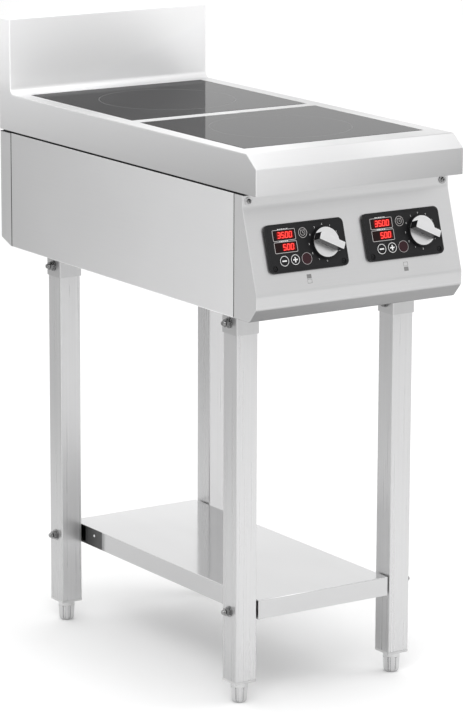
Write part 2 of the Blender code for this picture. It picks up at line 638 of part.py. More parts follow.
def make_carrier(zone):
    """Coil carrier: plastic disc with eight ferrite bars under it, on three legs."""
    y = ZONES[zone]
    high = COIL_Z - FIT
    low = high - CARRIER_T
    carrier = turned("coil_carrier_" + zone, [
        (COIL_BORE - 0.006, high), (COIL_R + 0.004, high), (COIL_R + 0.004, low), (COIL_BORE - 0.006, low),
        (COIL_BORE - 0.006, high)], 20)
    carrier.location = (0, y, 0)
    for i in range(8):
        bar = block("ferrite", (COIL_BORE + 0.004, -0.0075, low - FERRITE_T),
                    (COIL_R - 0.004, 0.0075, low + 0.001))
        bar.location = (0, y, 0)
        bar.rotation_euler = (0, 0, math.tau * (i + 0.5) / 8)
        join(carrier, bar)
    for i in range(4):
        a = math.tau * i / 4
        spot = ((COIL_R - 0.004) * math.cos(a), (COIL_R - 0.004) * math.sin(a))
        foot = disc("post", 0.005, TRAY_Z + TRAY_SHEET + FIT, low + 0.001, 6, spot)
        foot.location = (0, y, 0)
        join(carrier, foot)
    return dress(carrier, material("carrier_black", (0.05, 0.05, 0.055), 0.6), False)


def make_coil(zone):
    y = ZONES[zone]
    coil = turned("coil_" + zone, [
        (COIL_BORE, COIL_TOP - 0.001), (COIL_BORE + 0.001, COIL_TOP), (COIL_R - 0.001, COIL_TOP),
        (COIL_R, COIL_TOP - 0.001), (COIL_R, COIL_Z), (COIL_BORE, COIL_Z), (COIL_BORE, COIL_TOP - 0.001)], 24)
    coil.location = (0, y, 0)
    return dress(coil, material("coil_copper", (0.72, 0.36, 0.18), 0.35, 1.0))


# ---------------------------------------------------------------- electronics
def make_power_board(side, sign):
    """Inverter board on stand-offs, with its capacitors, choke, bridge and connectors."""
    cx = sign * MODULE_X
    z0 = FLOOR_Z + FIT + STANDOFF
    z1 = z0 + 0.0016
    x0, x1 = cx - BOARD_W / 2, cx + BOARD_W / 2
    y0, y1 = BOARD_Y, BOARD_Y + BOARD_L
    board = block("power_board_" + side, (x0, y0, z0), (x1, y1, z1))
    for x in (x0 + 0.006, x1 - 0.006):
        for y in (y0 + 0.006, y1 - 0.006):
            join(board, disc("standoff", 0.003, FLOOR_Z + FIT, z0 + 0.0008, 6, (x, y)))
    soak = z1 - 0.0005
    inner = x0 if sign > 0 else x1 - 0.060
    for i in range(3):
        y = y0 + 0.018 + i * 0.060
        join(board, block("capacitor", (inner + 0.010, y, soak), (inner + 0.042, y + 0.046, z1 + 0.030)))
    join(board, disc("choke", 0.022, soak, z1 + 0.026, 12, (inner + 0.028, y1 - 0.070)),
         block("relay", (inner + 0.014, y1 - 0.038, soak), (inner + 0.044, y1 - 0.014, z1 + 0.018)))
    return dress(board, material("board_green", (0.03, 0.13, 0.06), 0.5), False)


def make_heat_sink(side, sign):
    """Extruded heat sink standing on the power board's outer half, fins upwards."""
    cx = sign * (MODULE_X + BOARD_W / 2 - SINK_W / 2 - 0.012)
    low = FLOOR_Z + FIT + STANDOFF + 0.0016 + FIT
    base = 0.008
    pitch = (SINK_W - FIN_T) / (FINS - 1)
    left = cx - SINK_W / 2
    outline = [(left, low), (left + SINK_W, low)]
    for i in reversed(range(FINS)):
        x = left + i * pitch
        outline += [(x + FIN_T, low + SINK_H), (x, low + SINK_H)]
        if i:
            outline += [(x, low + base), (x - pitch + FIN_T, low + base)]
    y0 = BOARD_Y + 0.030
    sink = prism("heat_sink_" + side, outline, y0, y0 + SINK_L, "Y")
    return dress(sink, material("sink_aluminium", (0.78, 0.78, 0.79), 0.45, 1.0), False)


def make_fan(side, sign):
    """Cooling fan lying over the intake slots: frame with hub plate, and its rotor."""
    centre = (sign * MODULE_X, FAN_Y, 0.0)
    low = FLOOR_Z + FIT
    high = low + FAN_T
    frame = prism("fan_frame_" + side, rounded(FAN, FAN, 0.004, 1), low, high)
    cut(frame, disc("bore", FAN_BORE, low - 0.01, high + 0.01, 20))
    arms = block("arm", (-FAN_BORE - 0.001, -0.003, low + 0.0002), (FAN_BORE + 0.001, 0.003, low + 0.003))
    join(frame, arms,
         block("arm", (-0.003, -FAN_BORE - 0.001, low + 0.0004), (0.003, FAN_BORE + 0.001, low + 0.0028)),
         disc("motor_plate", 0.018, low + 0.0001, low + 0.0035, 10),
         disc("spindle", 0.0015, low + 0.001, high - 0.004, 6))
    frame.location = centre
    dress(frame, material("fan_black", (0.025, 0.025, 0.027), 0.5), False)

    foot = low + 0.0035 + 0.0008
    rotor = turned("fan_rotor_" + side, [
        (0.0015 + FIT, foot), (0.0015 + FIT, high - 0.0035), (0, high - 0.0035), (0, high - 0.001),
        (0.0165, high - 0.001), (0.0175, high - 0.002), (0.0175, foot), (0.0015 + FIT, foot)], 12)
    for i in range(7):
        blade = block("blade", (0.016, -0.0007, -0.0105), (FAN_BORE - 0.0015, 0.0007, 0.0105))
        turn = Matrix.Rotation(math.tau * i / 7, 4, "Z") @ Matrix.Rotation(math.radians(52), 4, "X")
        blade.matrix_world = Matrix.Translation((0, 0, (foot + high) / 2)) @ turn
        join(rotor, blade)
    rotor.location = centre
    dress(rotor, material("rotor_grey", (0.05, 0.05, 0.055), 0.45), False)


def make_mains_inlet():
    """Cable gland in the underside and the terminal block beside it."""
    f = FIT
    outside = [(GLAND_R, f), (GLAND_R, 0.006), (GLAND_R * 0.9, 0.008), (GLAND_R * 0.9, 0.018),
               (GLAND_R * 0.6, 0.022), (GLAND_BORE, 0.022)]
    inside = [(GLAND_BORE, -0.016), (GLAND_R * 0.75, -0.016), (GLAND_R * 0.75, -0.008), (GLAND_R, -0.008),
              (GLAND_R, -BODY_SHEET - f), (GLAND_R * 0.75, -BODY_SHEET - f), (GLAND_R * 0.75, f)]
    gland = turned("cable_gland", inside + outside + inside[:1], 12)
    gland.location = (*GLAND_AT, BODY_Z)
    gland.rotation_euler = (math.pi, 0, 0)
    dress(gland, material("gland_grey", (0.06, 0.06, 0.065), 0.55))

    low = FLOOR_Z + f
    gx, y = GLAND_AT[0], GLAND_AT[1] - 0.060
    terminals = block("terminal_block", (gx - 0.0375, y, low), (gx + 0.0375, y + 0.034, low + 0.022))
    for i in range(5):
        x = gx - 0.030 + i * 0.015
        cut(terminals,
            block("entry", (x - 0.005, y + 0.022, low + 0.008), (x + 0.005, y + 0.05, low + 0.017)),
            disc("screw_well", 0.004, low + 0.012, low + 0.03, 6, (x, y + 0.011)))
    dress(terminals, material("terminal_cream", (0.75, 0.72, 0.62), 0.5), False)


# ---------------------------------------------------------------- stand
def make_leg(name, spot):
    """Square tube with its threaded plug, open at the top inside the socket."""
    h, w = LEG / 2, LEG_WALL
    leg = block("leg_" + name, (-h, -h, FOOT_H), (h, h, LEG_TOP))
    cut(leg, block("inside", (-h + w, -h + w, FOOT_H + PLUG), (h - w, h - w, LEG_TOP + 0.01)),
        disc("thread", STEM_R + FIT, FOOT_H - 0.01, FOOT_H + PLUG + 0.01, 10))
    for z in (BODY_Z - SOCKET_BOLT_DROP, SHELF_Z - SHELF_BOLT_DROP):
        cut(leg, disc("bolt_hole", BOLT_R + FIT, -h - 0.01, h + 0.01, 8, (0.0, z), "X"))
    leg.location = (*spot, 0.0)
    return dress(leg, steel("leg_steel", 0.62, 0.30), False)


def make_foot(name, spot):
    r = FOOT_R
    foot = turned("foot_" + name, [
        (0, 0), (r * 0.78, 0), (r * 0.84, 0.0015), (r, 0.018), (r, FOOT_H - FIT), (STEM_R, FOOT_H - FIT),
        (STEM_R, FOOT_H + PLUG + 0.018), (0, FOOT_H + PLUG + 0.018)], 12)
    foot.location = (*spot, 0.0)
    return dress(foot, material("foot_steel", (0.66, 0.66, 0.67), 0.28, 1.0))


def make_bolt(name, inner, outer, spacer=None):
    """Through bolt along X: head on the inner side (-), nut and thread end outside (+)."""
    f = FIT
    turn = math.pi / 2

    def drum(radius, low, high, count=8, angle=0.0):
        return disc("drum", radius, low, high, count, axis="X", turn=angle)

    bolt = drum(BOLT_R, -inner - 0.004, outer + f + WASHER_T + NUT_T + THREAD_END)
    bolt.name = name
    hexagon = NUT_AF / math.sqrt(3)
    join(bolt, drum(WASHER_R, outer + f, outer + f + WASHER_T, 12),
         drum(hexagon, outer + f + WASHER_T - 0.0002, outer + f + WASHER_T + NUT_T, 6, turn),
         drum(WASHER_R, -inner - f - WASHER_T, -inner - f, 12),
         drum(hexagon, -inner - f - WASHER_T - NUT_T * 0.8, -inner - f - WASHER_T + 0.0002, 6, turn))
    if spacer:
        join(bolt, drum(WASHER_R, -spacer[1] + f, -spacer[0] - f, 10))
    return dress(bolt, steel("bolt_zinc", 0.58, 0.35), False)


def make_shelf():
    """Folded tray between the legs: flat top and four turned-down flanges."""
    t = SHELF_SHEET
    y0, y1 = LEG_FRONT, DEPTH - LEG_BACK
    low = SHELF_Z - SHELF_FLANGE
    shelf = block("shelf", (-SHELF_X, y0, low - 0.01), (SHELF_X, y1, SHELF_Z))
    bevelled(shelf, 0.0015, 2, 30)
    cut(shelf, block("hollow", (-SHELF_X + t, y0 + t, low - 0.02), (SHELF_X - t, y1 - t, SHELF_Z - t)),
        block("trim", (-SHELF_X - 0.01, y0 - 0.01, low - 0.03), (SHELF_X + 0.01, y1 + 0.01, low)))
    for y in LEG_YS:
        cut(shelf, disc("bolt_hole", BOLT_R + FIT, -SHELF_X - 0.01, SHELF_X + 0.01, 8,
                        (y, SHELF_Z - SHELF_BOLT_DROP), "X"))
    return dress(shelf, steel("shelf_steel", 0.68, 0.25))


def make_stand():
    for name, spot in LEG_SPOTS.items():
        make_leg(name, spot)
        make_foot(name, spot)
    socket = shelf_bolt = None
    for name, (x, y) in LEG_SPOTS.items():
        if socket is None:
            socket = make_bolt("leg_bolt_" + name, SOCKET_HALF, SOCKET_HALF)
            inner = LEG / 2 + SHELF_GAP + SHELF_SHEET
            shelf_bolt = make_bolt("shelf_bolt_" + name, inner, LEG / 2, (LEG / 2, LEG / 2 + SHELF_GAP))
            pair = (socket, shelf_bolt)
        else:
            pair = (copy_of(socket, "leg_bolt_" + name), copy_of(shelf_bolt, "shelf_bolt_" + name))
        for bolt, z in zip(pair, (BODY_Z - SOCKET_BOLT_DROP, SHELF_Z - SHELF_BOLT_DROP)):
            bolt.location = (x, y, z)
            bolt.rotation_euler = (0, 0, math.pi if x < 0 else 0)
    make_shelf()


def centre_on_footprint():
    """Brings the origin under the middle of the outline, knobs included."""
    bpy.context.view_layer.update()
    front = min((obj.matrix_world @ vert.co).y
                for obj in bpy.data.objects if obj.type == "MESH" for vert in obj.data.vertices)
    for obj in bpy.data.objects:
        if obj.parent is None:
            obj.location.y -= (DEPTH + front) / 2
    bpy.context.view_layer.update()


def main():
    clear_scene()
    make_worktop()
    make_chassis()
    make_rear_panel()
    make_fascia()
    make_coil_tray()
    for zone in ZONES:
        make_glass(zone)
        make_gasket(zone)
        make_carrier(zone)
        make_coil(zone)
    for side, sign in (("left", -1), ("right", 1)):
        make_power_board(side, sign)
        make_heat_sink(side, sign)
        make_fan(side, sign)
    make_mains_inlet()
    make_controls()
    make_stand()
    centre_on_footprint()


main()
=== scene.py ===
import json
import math

import bmesh
import bpy
from mathutils import Matrix, Vector

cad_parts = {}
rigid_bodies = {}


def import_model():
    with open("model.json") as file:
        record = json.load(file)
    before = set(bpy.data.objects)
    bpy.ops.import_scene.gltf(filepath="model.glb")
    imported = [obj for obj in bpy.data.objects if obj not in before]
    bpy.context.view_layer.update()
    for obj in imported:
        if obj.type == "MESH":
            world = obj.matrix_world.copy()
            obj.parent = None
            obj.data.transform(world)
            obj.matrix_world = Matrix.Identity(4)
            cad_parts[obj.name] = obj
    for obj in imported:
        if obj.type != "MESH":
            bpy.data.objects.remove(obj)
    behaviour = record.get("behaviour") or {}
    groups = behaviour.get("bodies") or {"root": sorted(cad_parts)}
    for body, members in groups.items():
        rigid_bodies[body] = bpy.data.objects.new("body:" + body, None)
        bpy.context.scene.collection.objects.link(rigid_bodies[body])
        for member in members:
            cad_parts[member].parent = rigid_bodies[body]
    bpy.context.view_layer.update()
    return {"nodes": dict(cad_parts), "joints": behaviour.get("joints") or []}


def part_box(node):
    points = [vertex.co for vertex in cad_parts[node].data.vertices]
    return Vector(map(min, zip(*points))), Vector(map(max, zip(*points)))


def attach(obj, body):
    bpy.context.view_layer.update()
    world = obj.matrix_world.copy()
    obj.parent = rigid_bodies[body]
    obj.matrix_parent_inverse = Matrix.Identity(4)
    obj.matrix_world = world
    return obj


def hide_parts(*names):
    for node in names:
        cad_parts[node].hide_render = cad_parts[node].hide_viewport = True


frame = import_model()

MM = 0.001
ROOT = "cooktop"
SIDES = ("left", "right")
CORNERS = ("front_left", "front_right", "rear_left", "rear_right")

# ------------------------------------------------------------------ sizes taken from the frame
TOP_LOW, TOP_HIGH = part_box("worktop")
BODY_LOW, BODY_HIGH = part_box("chassis")
FACE_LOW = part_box("control_fascia")[0]
REAR_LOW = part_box("rear_panel")[0]
SHELF_LOW, SHELF_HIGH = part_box("shelf")
GLASS = {zone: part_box("glass_" + zone) for zone in ("front", "rear")}
NOSE = TOP_LOW.y
BACK = TOP_HIGH.y
SURFACE = GLASS["front"][1].z
RIM = TOP_LOW.z
BODY_FLOOR = FACE_LOW.z
BODY_RIM = RIM - 3.5 * MM

SHEET = 1.5 * MM
THIN_SHEET = 1.2 * MM
SPLASH = 37 * MM
STRIP_BACK = 39 * MM       # upper strip of the fascia, behind the nose
STRIP_FALL = 87.6 * MM
SLANT_FALL = 221 * MM
UPRIGHT_FALL = 243 * MM
FACE_AHEAD = 2 * MM
CHEEK_CHAMFER = 20 * MM
FASCIA_DEPTH = 61.5 * MM
COLLAR_STEP = 4.5 * MM     # upper body wall, in from the outer wall
VENT_MIDDLE = 97 * MM      # vents and intakes, out from the middle
SOCKET_FALL = 38 * MM

# control panel layout, each in its own plane: right, up the slope, outwards
BEZEL = (150 * MM, 77.5 * MM, 5 * MM)
BEZEL_CORNER = 9 * MM
PANE = (40.5 * MM, 15.4 * MM)
PANE_UPPER = (-39.7 * MM, 20.7 * MM)
PANE_LOWER = (-39.3 * MM, 1.3 * MM)
LAMP = (-3.8 * MM, -20.3 * MM)
LAMP_R = 9.8 * MM
KEYS = {"timer": (-4.6 * MM, 20.9 * MM), "minus": (-46.6 * MM, -20.3 * MM), "plus": (-26.0 * MM, -20.0 * MM)}
KEY_R = 8.7 * MM
KNOB = (34 * MM, 1.5 * MM)
KNOB_R = 25.5 * MM
KNOB_TURN = math.radians(-27)
CORNER_SCREW = (65.2 * MM, -31.2 * MM)
FACE = 4.5 * MM            # recessed face of the bezel above the steel
ICON = (8.6 * MM, 6.6 * MM)
ICON_SPOT = (-2 * MM, -52.2 * MM)
ICON_STEP = 3.9 * MM
# Rows of printed marks, in millimetres: left end of the first, height of the row, lengths.
MARKS = ((-50.7, 30.4, (2.6, 1.6, 3.4, 2.2, 1.4, 2.6)),
         (-50.0, 11.0, (2.0, 3.0, 1.6, 2.4, 3.0)))


# ------------------------------------------------------------------ handling of pieces
def rest():
    """Leaves edit mode with nothing selected."""
    if bpy.context.object and bpy.context.object.mode != "OBJECT":
        bpy.ops.object.mode_set(mode="OBJECT")
    bpy.ops.object.select_all(action="DESELECT")


def take(piece):
    rest()
    piece.select_set(True)
    bpy.context.view_layer.objects.active = piece
    return piece


def named(name):
    piece = bpy.context.object
    piece.name = name
    piece.data.name = name
    return piece


def settle(piece, place=None):
    """Writes a piece's place into its mesh."""
    take(piece)
    if place is not None:
        piece.matrix_world = place @ piece.matrix_world
    bpy.ops.object.transform_apply(location=True, rotation=True, scale=True)
    return piece


def block(name, low, high):
    rest()
    low, high = Vector(low), Vector(high)
    bpy.ops.mesh.primitive_cube_add(size=1, location=(low + high) / 2, scale=high - low)
    return settle(named(name))


def drum(name, radius, low, high, steps=48, spot=(0, 0)):
    rest()
    bpy.ops.mesh.primitive_cylinder_add(vertices=steps, radius=radius, depth=high - low,
                                        location=(spot[0], spot[1], (low + high) / 2))
    return settle(named(name))


def pick(piece, kind, test):
    """Enters edit mode and selects the faces, edges or vertices whose middle and direction pass the test."""
    take(piece)
    bpy.ops.object.mode_set(mode="EDIT")
    bpy.ops.mesh.select_mode(type=kind)
    bpy.ops.mesh.select_all(action="DESELECT")
    mesh = bmesh.from_edit_mesh(piece.data)
    if kind == "FACE":
        for face in mesh.faces:
            if test(face.calc_center_median(), face.normal):
                face.select_set(True)
    elif kind == "EDGE":
        for edge in mesh.edges:
            a, b = (vert.co for vert in edge.verts)
            if test((a + b) / 2, (b - a).normalized(), edge):
                edge.select_set(True)
    else:
        for vert in mesh.verts:
            if test(vert.co, vert.normal):
                vert.select_set(True)
    mesh.select_flush_mode()
    bmesh.update_edit_mesh(piece.data)


def fold(edge, least=25):
    """True where two faces of a piece meet at an edge."""
    return len(edge.link_faces) == 2 and edge.calc_face_angle() > math.radians(least)


def rounded(piece, radius, steps, test=None, least=25):
    """Rounds the folds that pass the test."""
    pick(piece, "EDGE", lambda mid, way, edge: fold(edge, least) and (test is None or test(mid, way)))
    bpy.ops.mesh.bevel(offset=radius, segments=steps, profile=0.5, affect="EDGES")
    rest()
    return piece


def opened(piece, test):
    """Takes away the faces that pass the test."""
    pick(piece, "FACE", test)
    bpy.ops.mesh.delete(type="FACE")
    rest()
    return piece


def worked(piece, kind, **settings):
    """Applies one modifier."""
    take(piece)
    modifier = piece.modifiers.new(kind.title(), kind)
    for key, value in settings.items():
        setattr(modifier, key, value)
    bpy.ops.object.modifier_apply(modifier=modifier.name)
    return piece


def walled(piece, thickness, offset=-1):
    """Gives a shell its sheet thickness, inwards."""
    return worked(piece, "SOLIDIFY", thickness=thickness, offset=offset, use_even_offset=True)


def carved(piece, *tools):
    for tool in tools:
        worked(piece, "BOOLEAN", operation="DIFFERENCE", solver="EXACT", object=tool)
        bpy.data.objects.remove(tool, do_unlink=True)
    return piece


def together(piece, *others):
    """Joins finished meshes into one piece."""
    take(piece)
    for other in others:
        other.select_set(True)
    bpy.ops.object.join()
    return piece


def copied(piece, name, place=None):
    twin = piece.copy()
    twin.data = piece.data.copy()
    twin.name = twin.data.name = name
    bpy.context.scene.collection.objects.link(twin)
    return settle(twin, place)


def smoothed(piece, angle=32):
    """Smooth rounds beside flat faces."""
    take(piece)
    bpy.ops.object.shade_smooth_by_angle(angle=math.radians(angle), keep_sharp_edges=False)
    return worked(piece, "WEIGHTED_NORMAL", keep_sharp=True, weight=80)


def drawn(name, outline, lead):
    """Draws a flat outline corner by corner, fills it and extrudes it by lead."""
    rest()
    outline = [Vector(corner) for corner in outline]
    bpy.ops.mesh.primitive_plane_add(size=0.01, location=outline[0])
    piece = settle(named(name))
    bpy.ops.object.mode_set(mode="EDIT")
    bpy.ops.mesh.select_mode(type="VERT")
    bpy.ops.mesh.select_all(action="SELECT")
    bpy.ops.mesh.merge(type="CENTER")
    for start, end in zip(outline, outline[1:]):
        bpy.ops.mesh.extrude_region_move(TRANSFORM_OT_translate={"value": end - start})
    bpy.ops.mesh.select_all(action="SELECT")
    bpy.ops.mesh.edge_face_add()
    bpy.ops.mesh.extrude_region_move(TRANSFORM_OT_translate={"value": Vector(lead)})
    bpy.ops.mesh.select_all(action="SELECT")
    bpy.ops.mesh.normals_make_consistent(inside=False)
    rest()
    return piece


def spun(name, profile, steps=64):
    """Turns a half profile of (radius, height) pairs about Z into a closed piece."""
    rest()
    bpy.ops.mesh.primitive_plane_add(size=0.01, location=(profile[0][0], 0, profile[0][1]))
    piece = settle(named(name))
    bpy.ops.object.mode_set(mode="EDIT")
    bpy.ops.mesh.select_mode(type="VERT")
    bpy.ops.mesh.select_all(action="SELECT")
    bpy.ops.mesh.merge(type="CENTER")
    for (r0, z0), (r1, z1) in zip(profile, profile[1:]):
        bpy.ops.mesh.extrude_region_move(TRANSFORM_OT_translate={"value": (r1 - r0, 0, z1 - z0)})
    bpy.ops.mesh.select_all(action="SELECT")
    bpy.ops.mesh.spin(steps=steps, angle=math.tau, center=(0, 0, 0), axis=(0, 0, 1))
    bpy.ops.mesh.select_all(action="SELECT")
    bpy.ops.mesh.remove_doubles(threshold=1e-6)
    bpy.ops.mesh.normals_make_consistent(inside=False)
    rest()
    return piece


def washer(name, outer, inner, low, high, steps=48):
    """A flat ring with square edges."""
    return spun(name, [(inner, low), (outer, low), (outer, high), (inner, high), (inner, low)], steps)


def fitted(piece, material, body=ROOT, stands_for=()):
    """Material, body, finish slot and the frame node a piece stands for."""
    piece.data.materials.clear()
    piece.data.materials.append(material)
    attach(piece, body)
    if stands_for:
        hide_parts(*stands_for)
    return piece


def shaded_inside(piece):
    """Paints the faces that look into the closed body, the recess under the rim and the seam edges with near-black
    steel: painted shade.
    """
    middle = Vector((0, 20 * MM, (BODY_FLOOR + BODY_RIM) / 2))
    piece.data.materials.append(M["shade"])
    for face in piece.data.polygons:
        inwards = face.normal.dot(middle - face.center) > 0 and face.center.z > BODY_FLOOR + 0.5 * MM
        seam = min(abs(face.center.y - BODY_LOW.y), abs(face.center.y - BODY_HIGH.y)) < 2.2 * MM
        if inwards or face.center.z > BODY_RIM - 0.02 * MM or (seam and abs(face.normal.y) > 0.7):
            face.material_index = 1
    return piece


# ------------------------------------------------------------------ finishes
def sheet_of(name):
    """An empty material with its shader."""
    material = bpy.data.materials.new(name)
    material.use_nodes = True
    return material, material.node_tree.links, material.node_tree.nodes["Principled BSDF"]


def wired(tree, kind, **settings):
    node = tree.nodes.new(kind)
    for key, value in settings.items():
        setattr(node, key, value)
    return node


def blended(tree, kind, factor, first, second):
    """A mix of two colours or two values; each is a socket or a constant."""
    node = wired(tree, "ShaderNodeMix", data_type=kind)
    end = {"RGBA": "_Color", "FLOAT": "_Float"}[kind]
    sockets = {socket.identifier: socket for socket in node.inputs}
    tree.links.new(factor, sockets["Factor_Float"])
    for label, value in (("A", first), ("B", second)):
        if isinstance(value, bpy.types.NodeSocket):
            tree.links.new(value, sockets[label + end])
        else:
            sockets[label + end].default_value = value
    return next(socket for socket in node.outputs if socket.identifier == "Result" + end)


def effect(name, inputs, outputs):
    """Starts a shader node group with named sockets."""
    group = bpy.data.node_groups.new(name, "ShaderNodeTree")
    for label, kind, value in inputs:
        socket = group.interface.new_socket(label, in_out="INPUT", socket_type=kind)
        socket.default_value = value
    for label, kind in outputs:
        group.interface.new_socket(label, in_out="OUTPUT", socket_type=kind)
    return group, group.nodes.new("NodeGroupInput"), group.nodes.new("NodeGroupOutput")


def fed(tree, node, *values):
    """Fills a node's inputs in turn with sockets or numbers."""
    for socket, value in zip(node.inputs, values):
        if isinstance(value, bpy.types.NodeSocket):
            tree.links.new(value, socket)
        else:
            socket.default_value = value
    return node


def maths(tree, operation, *values):
    return fed(tree, wired(tree, "ShaderNodeMath", operation=operation), *values).outputs[0]


def vectors(tree, operation, *values, out="Vector"):
    return fed(tree, wired(tree, "ShaderNodeVectorMath", operation=operation), *values).outputs[out]


def scaled(tree, colour, factor):
    node = wired(tree, "ShaderNodeVectorMath", operation="SCALE")
    tree.links.new(colour, node.inputs[0])
    tree.links.new(factor, node.inputs["Scale"])
    return node.outputs[0]


def ranged(tree, value, start, end, low=0.0, high=1.0, ease="SMOOTHSTEP"):
    """Carries a value from start..end over to low..high."""
    node = wired(tree, "ShaderNodeMapRange", interpolation_type=ease)
    return fed(tree, node, value, start, end, low, high).outputs["Result"]


def placed(tree, group, values):
    """Sets an effect into a material with its own values."""
    node = wired(tree, "ShaderNodeGroup", node_tree=group)
    for label, value in values.items():
        node.inputs[label].default_value = value
    return node


def coated(name, group, values, depth, reach):
    """A material whose colour, roughness and relief come from one effect."""
    material, links, shader = sheet_of(name)
    skin = placed(material.node_tree, group, values)
    links.new(skin.outputs["Colour"], shader.inputs["Base Color"])
    links.new(skin.outputs["Roughness"], shader.inputs["Roughness"])
    bump = wired(material.node_tree, "ShaderNodeBump")
    bump.inputs["Strength"].default_value = depth
    bump.inputs["Distance"].default_value = reach
    links.new(skin.outputs["Height"], bump.inputs["Height"])
    links.new(bump.outputs["Normal"], shader.inputs["Normal"])
    return material, shader


def make_grain():
    """Grain of brushed steel: stretched streaks over slow clouds, with painted light and shade: the tone changes with
    place (painted light) and dims on faces that look the way of Shade (painted shade).
    """
    group, given, result = effect(
        "brushed_grain",
        [("Stretch", "NodeSocketVector", (1, 1, 1)), ("Streaks", "NodeSocketFloat", 0.1),
         ("Clouds", "NodeSocketFloat", 0.05), ("Gloss", "NodeSocketFloat", 0.3),
         ("Drift", "NodeSocketVector", (0, 0, 0)), ("Level", "NodeSocketFloat", 1.0),
         ("Shade", "NodeSocketVector", (0, 0, -0.3)), ("Tone", "NodeSocketColor", (0.6, 0.6, 0.6, 1))],
        [("Colour", "NodeSocketColor"), ("Roughness", "NodeSocketFloat"), ("Height", "NodeSocketFloat")])
    link = group.links.new
    place = wired(group, "ShaderNodeTexCoord")
    fine = wired(group, "ShaderNodeTexNoise")
    fine.inputs["Scale"].default_value = 1.0
    fine.inputs["Detail"].default_value = 5.0
    fine.inputs["Roughness"].default_value = 0.65
    link(vectors(group, "MULTIPLY", place.outputs["Object"], given.outputs["Stretch"]), fine.inputs["Vector"])
    cloud = wired(group, "ShaderNodeTexNoise")
    cloud.inputs["Scale"].default_value = 5.0
    cloud.inputs["Detail"].default_value = 2.0
    link(place.outputs["Object"], cloud.inputs["Vector"])
    streak = maths(group, "MULTIPLY", maths(group, "SUBTRACT", fine.outputs["Fac"], 0.5), given.outputs["Streaks"])
    haze = maths(group, "MULTIPLY", maths(group, "SUBTRACT", cloud.outputs["Fac"], 0.5), given.outputs["Clouds"])
    uneven = maths(group, "ADD", streak, haze)
    # painted light: the tone rises and falls with place, per metre along the given vector
    painted_light = vectors(group, "DOT_PRODUCT", place.outputs["Object"], given.outputs["Drift"], out="Value")
    # painted shade: faces that look the way of Shade are darkened
    painted_facing_shade = vectors(group, "DOT_PRODUCT", place.outputs["Normal"], given.outputs["Shade"], out="Value")
    level = maths(group, "SUBTRACT", maths(group, "ADD", painted_light, given.outputs["Level"]),
                  maths(group, "MAXIMUM", painted_facing_shade, 0.0))
    link(scaled(group, given.outputs["Tone"], maths(group, "ADD", uneven, level)), result.inputs["Colour"])
    link(maths(group, "ADD", given.outputs["Gloss"], uneven), result.inputs["Roughness"])
    link(fine.outputs["Fac"], result.inputs["Height"])
    return group


GRAIN = make_grain()


def steel(name, tone=0.62, gloss=0.30, stretch=(900, 12, 900), streaks=0.10, clouds=0.05, depth=0.02,
          painted_light=(0, 0, 0), level=1.0, shade=(0, 0, -0.3), across=0.0):
    """Brushed stainless steel. Stretch is small along the grain; drift is painted light, a slow change of tone per
    metre;
    shade is painted shade, dimming the faces that look its way; and across widens the gloss across the grain."""
    material, shader = coated(name, GRAIN, {
        "Stretch": stretch, "Streaks": streaks, "Clouds": clouds, "Gloss": gloss, "Drift": painted_light, "Level": level,
        "Shade": shade, "Tone": (tone, tone, tone * 1.005, 1)}, depth, 0.0002)
    shader.inputs["Metallic"].default_value = 1.0
    if across:
        shader.inputs["Anisotropic"].default_value = across
        shader.inputs["Anisotropic Rotation"].default_value = 0.25
        way = wired(material.node_tree, "ShaderNodeTangent", direction_type="RADIAL", axis="Z")
        material.node_tree.links.new(way.outputs["Tangent"], shader.inputs["Tangent"])
    return material


def make_moulding():
    """Fine spark-eroded texture of moulded plastic."""
    group, given, result = effect(
        "moulded_texture",
        [("Scale", "NodeSocketFloat", 2500.0), ("Tone", "NodeSocketColor", (0.03, 0.03, 0.03, 1)),
         ("Gloss", "NodeSocketFloat", 0.4)],
        [("Colour", "NodeSocketColor"), ("Roughness", "NodeSocketFloat"), ("Height", "NodeSocketFloat")])
    link = group.links.new
    place = wired(group, "ShaderNodeTexCoord")
    fine = wired(group, "ShaderNodeTexNoise")
    fine.inputs["Detail"].default_value = 2.0
    link(place.outputs["Object"], fine.inputs["Vector"])
    link(given.outputs["Scale"], fine.inputs["Scale"])
    slow = wired(group, "ShaderNodeTexNoise")
    slow.inputs["Scale"].default_value = 60.0
    link(place.outputs["Object"], slow.inputs["Vector"])
    shade = ranged(group, slow.outputs["Fac"], 0.0, 1.0, 0.85, 1.15, ease="LINEAR")
    link(scaled(group, given.outputs["Tone"], shade), result.inputs["Colour"])
    link(maths(group, "MULTIPLY", shade, given.outputs["Gloss"]), result.inputs["Roughness"])
    link(fine.outputs["Fac"], result.inputs["Height"])
    return group


MOULDING = make_moulding()


def plastic(name, tone, gloss=0.4, scale=2500.0, depth=0.15, shine=0.5):
    material, shader = coated(name, MOULDING, {"Scale": scale, "Tone": (*tone, 1), "Gloss": gloss}, depth, 0.00005)
    shader.inputs["Specular IOR Level"].default_value = shine
    return material


def make_ring_print():
    """Printed ring of a cooking zone: how much print there is at each place."""
    group, given, result = effect(
        "ring_print",
        [("Centre", "NodeSocketVector", (0, 0, 0)), ("Radius", "NodeSocketFloat", 0.1165),
         ("Line", "NodeSocketFloat", 0.0006)],
        [("Print", "NodeSocketFloat")])
    place = wired(group, "ShaderNodeTexCoord")
    away = vectors(group, "SUBTRACT", place.outputs["Object"], given.outputs["Centre"])
    reach = vectors(group, "LENGTH", vectors(group, "MULTIPLY", away, (1, 1, 0)), out="Value")
    gap = maths(group, "ABSOLUTE", maths(group, "SUBTRACT", reach, given.outputs["Radius"]))
    mask = ranged(group, maths(group, "DIVIDE", gap, given.outputs["Line"]), 1.3, 0.7, ease="LINEAR")
    group.links.new(mask, result.inputs["Print"])
    return group


RING_PRINT = make_ring_print()


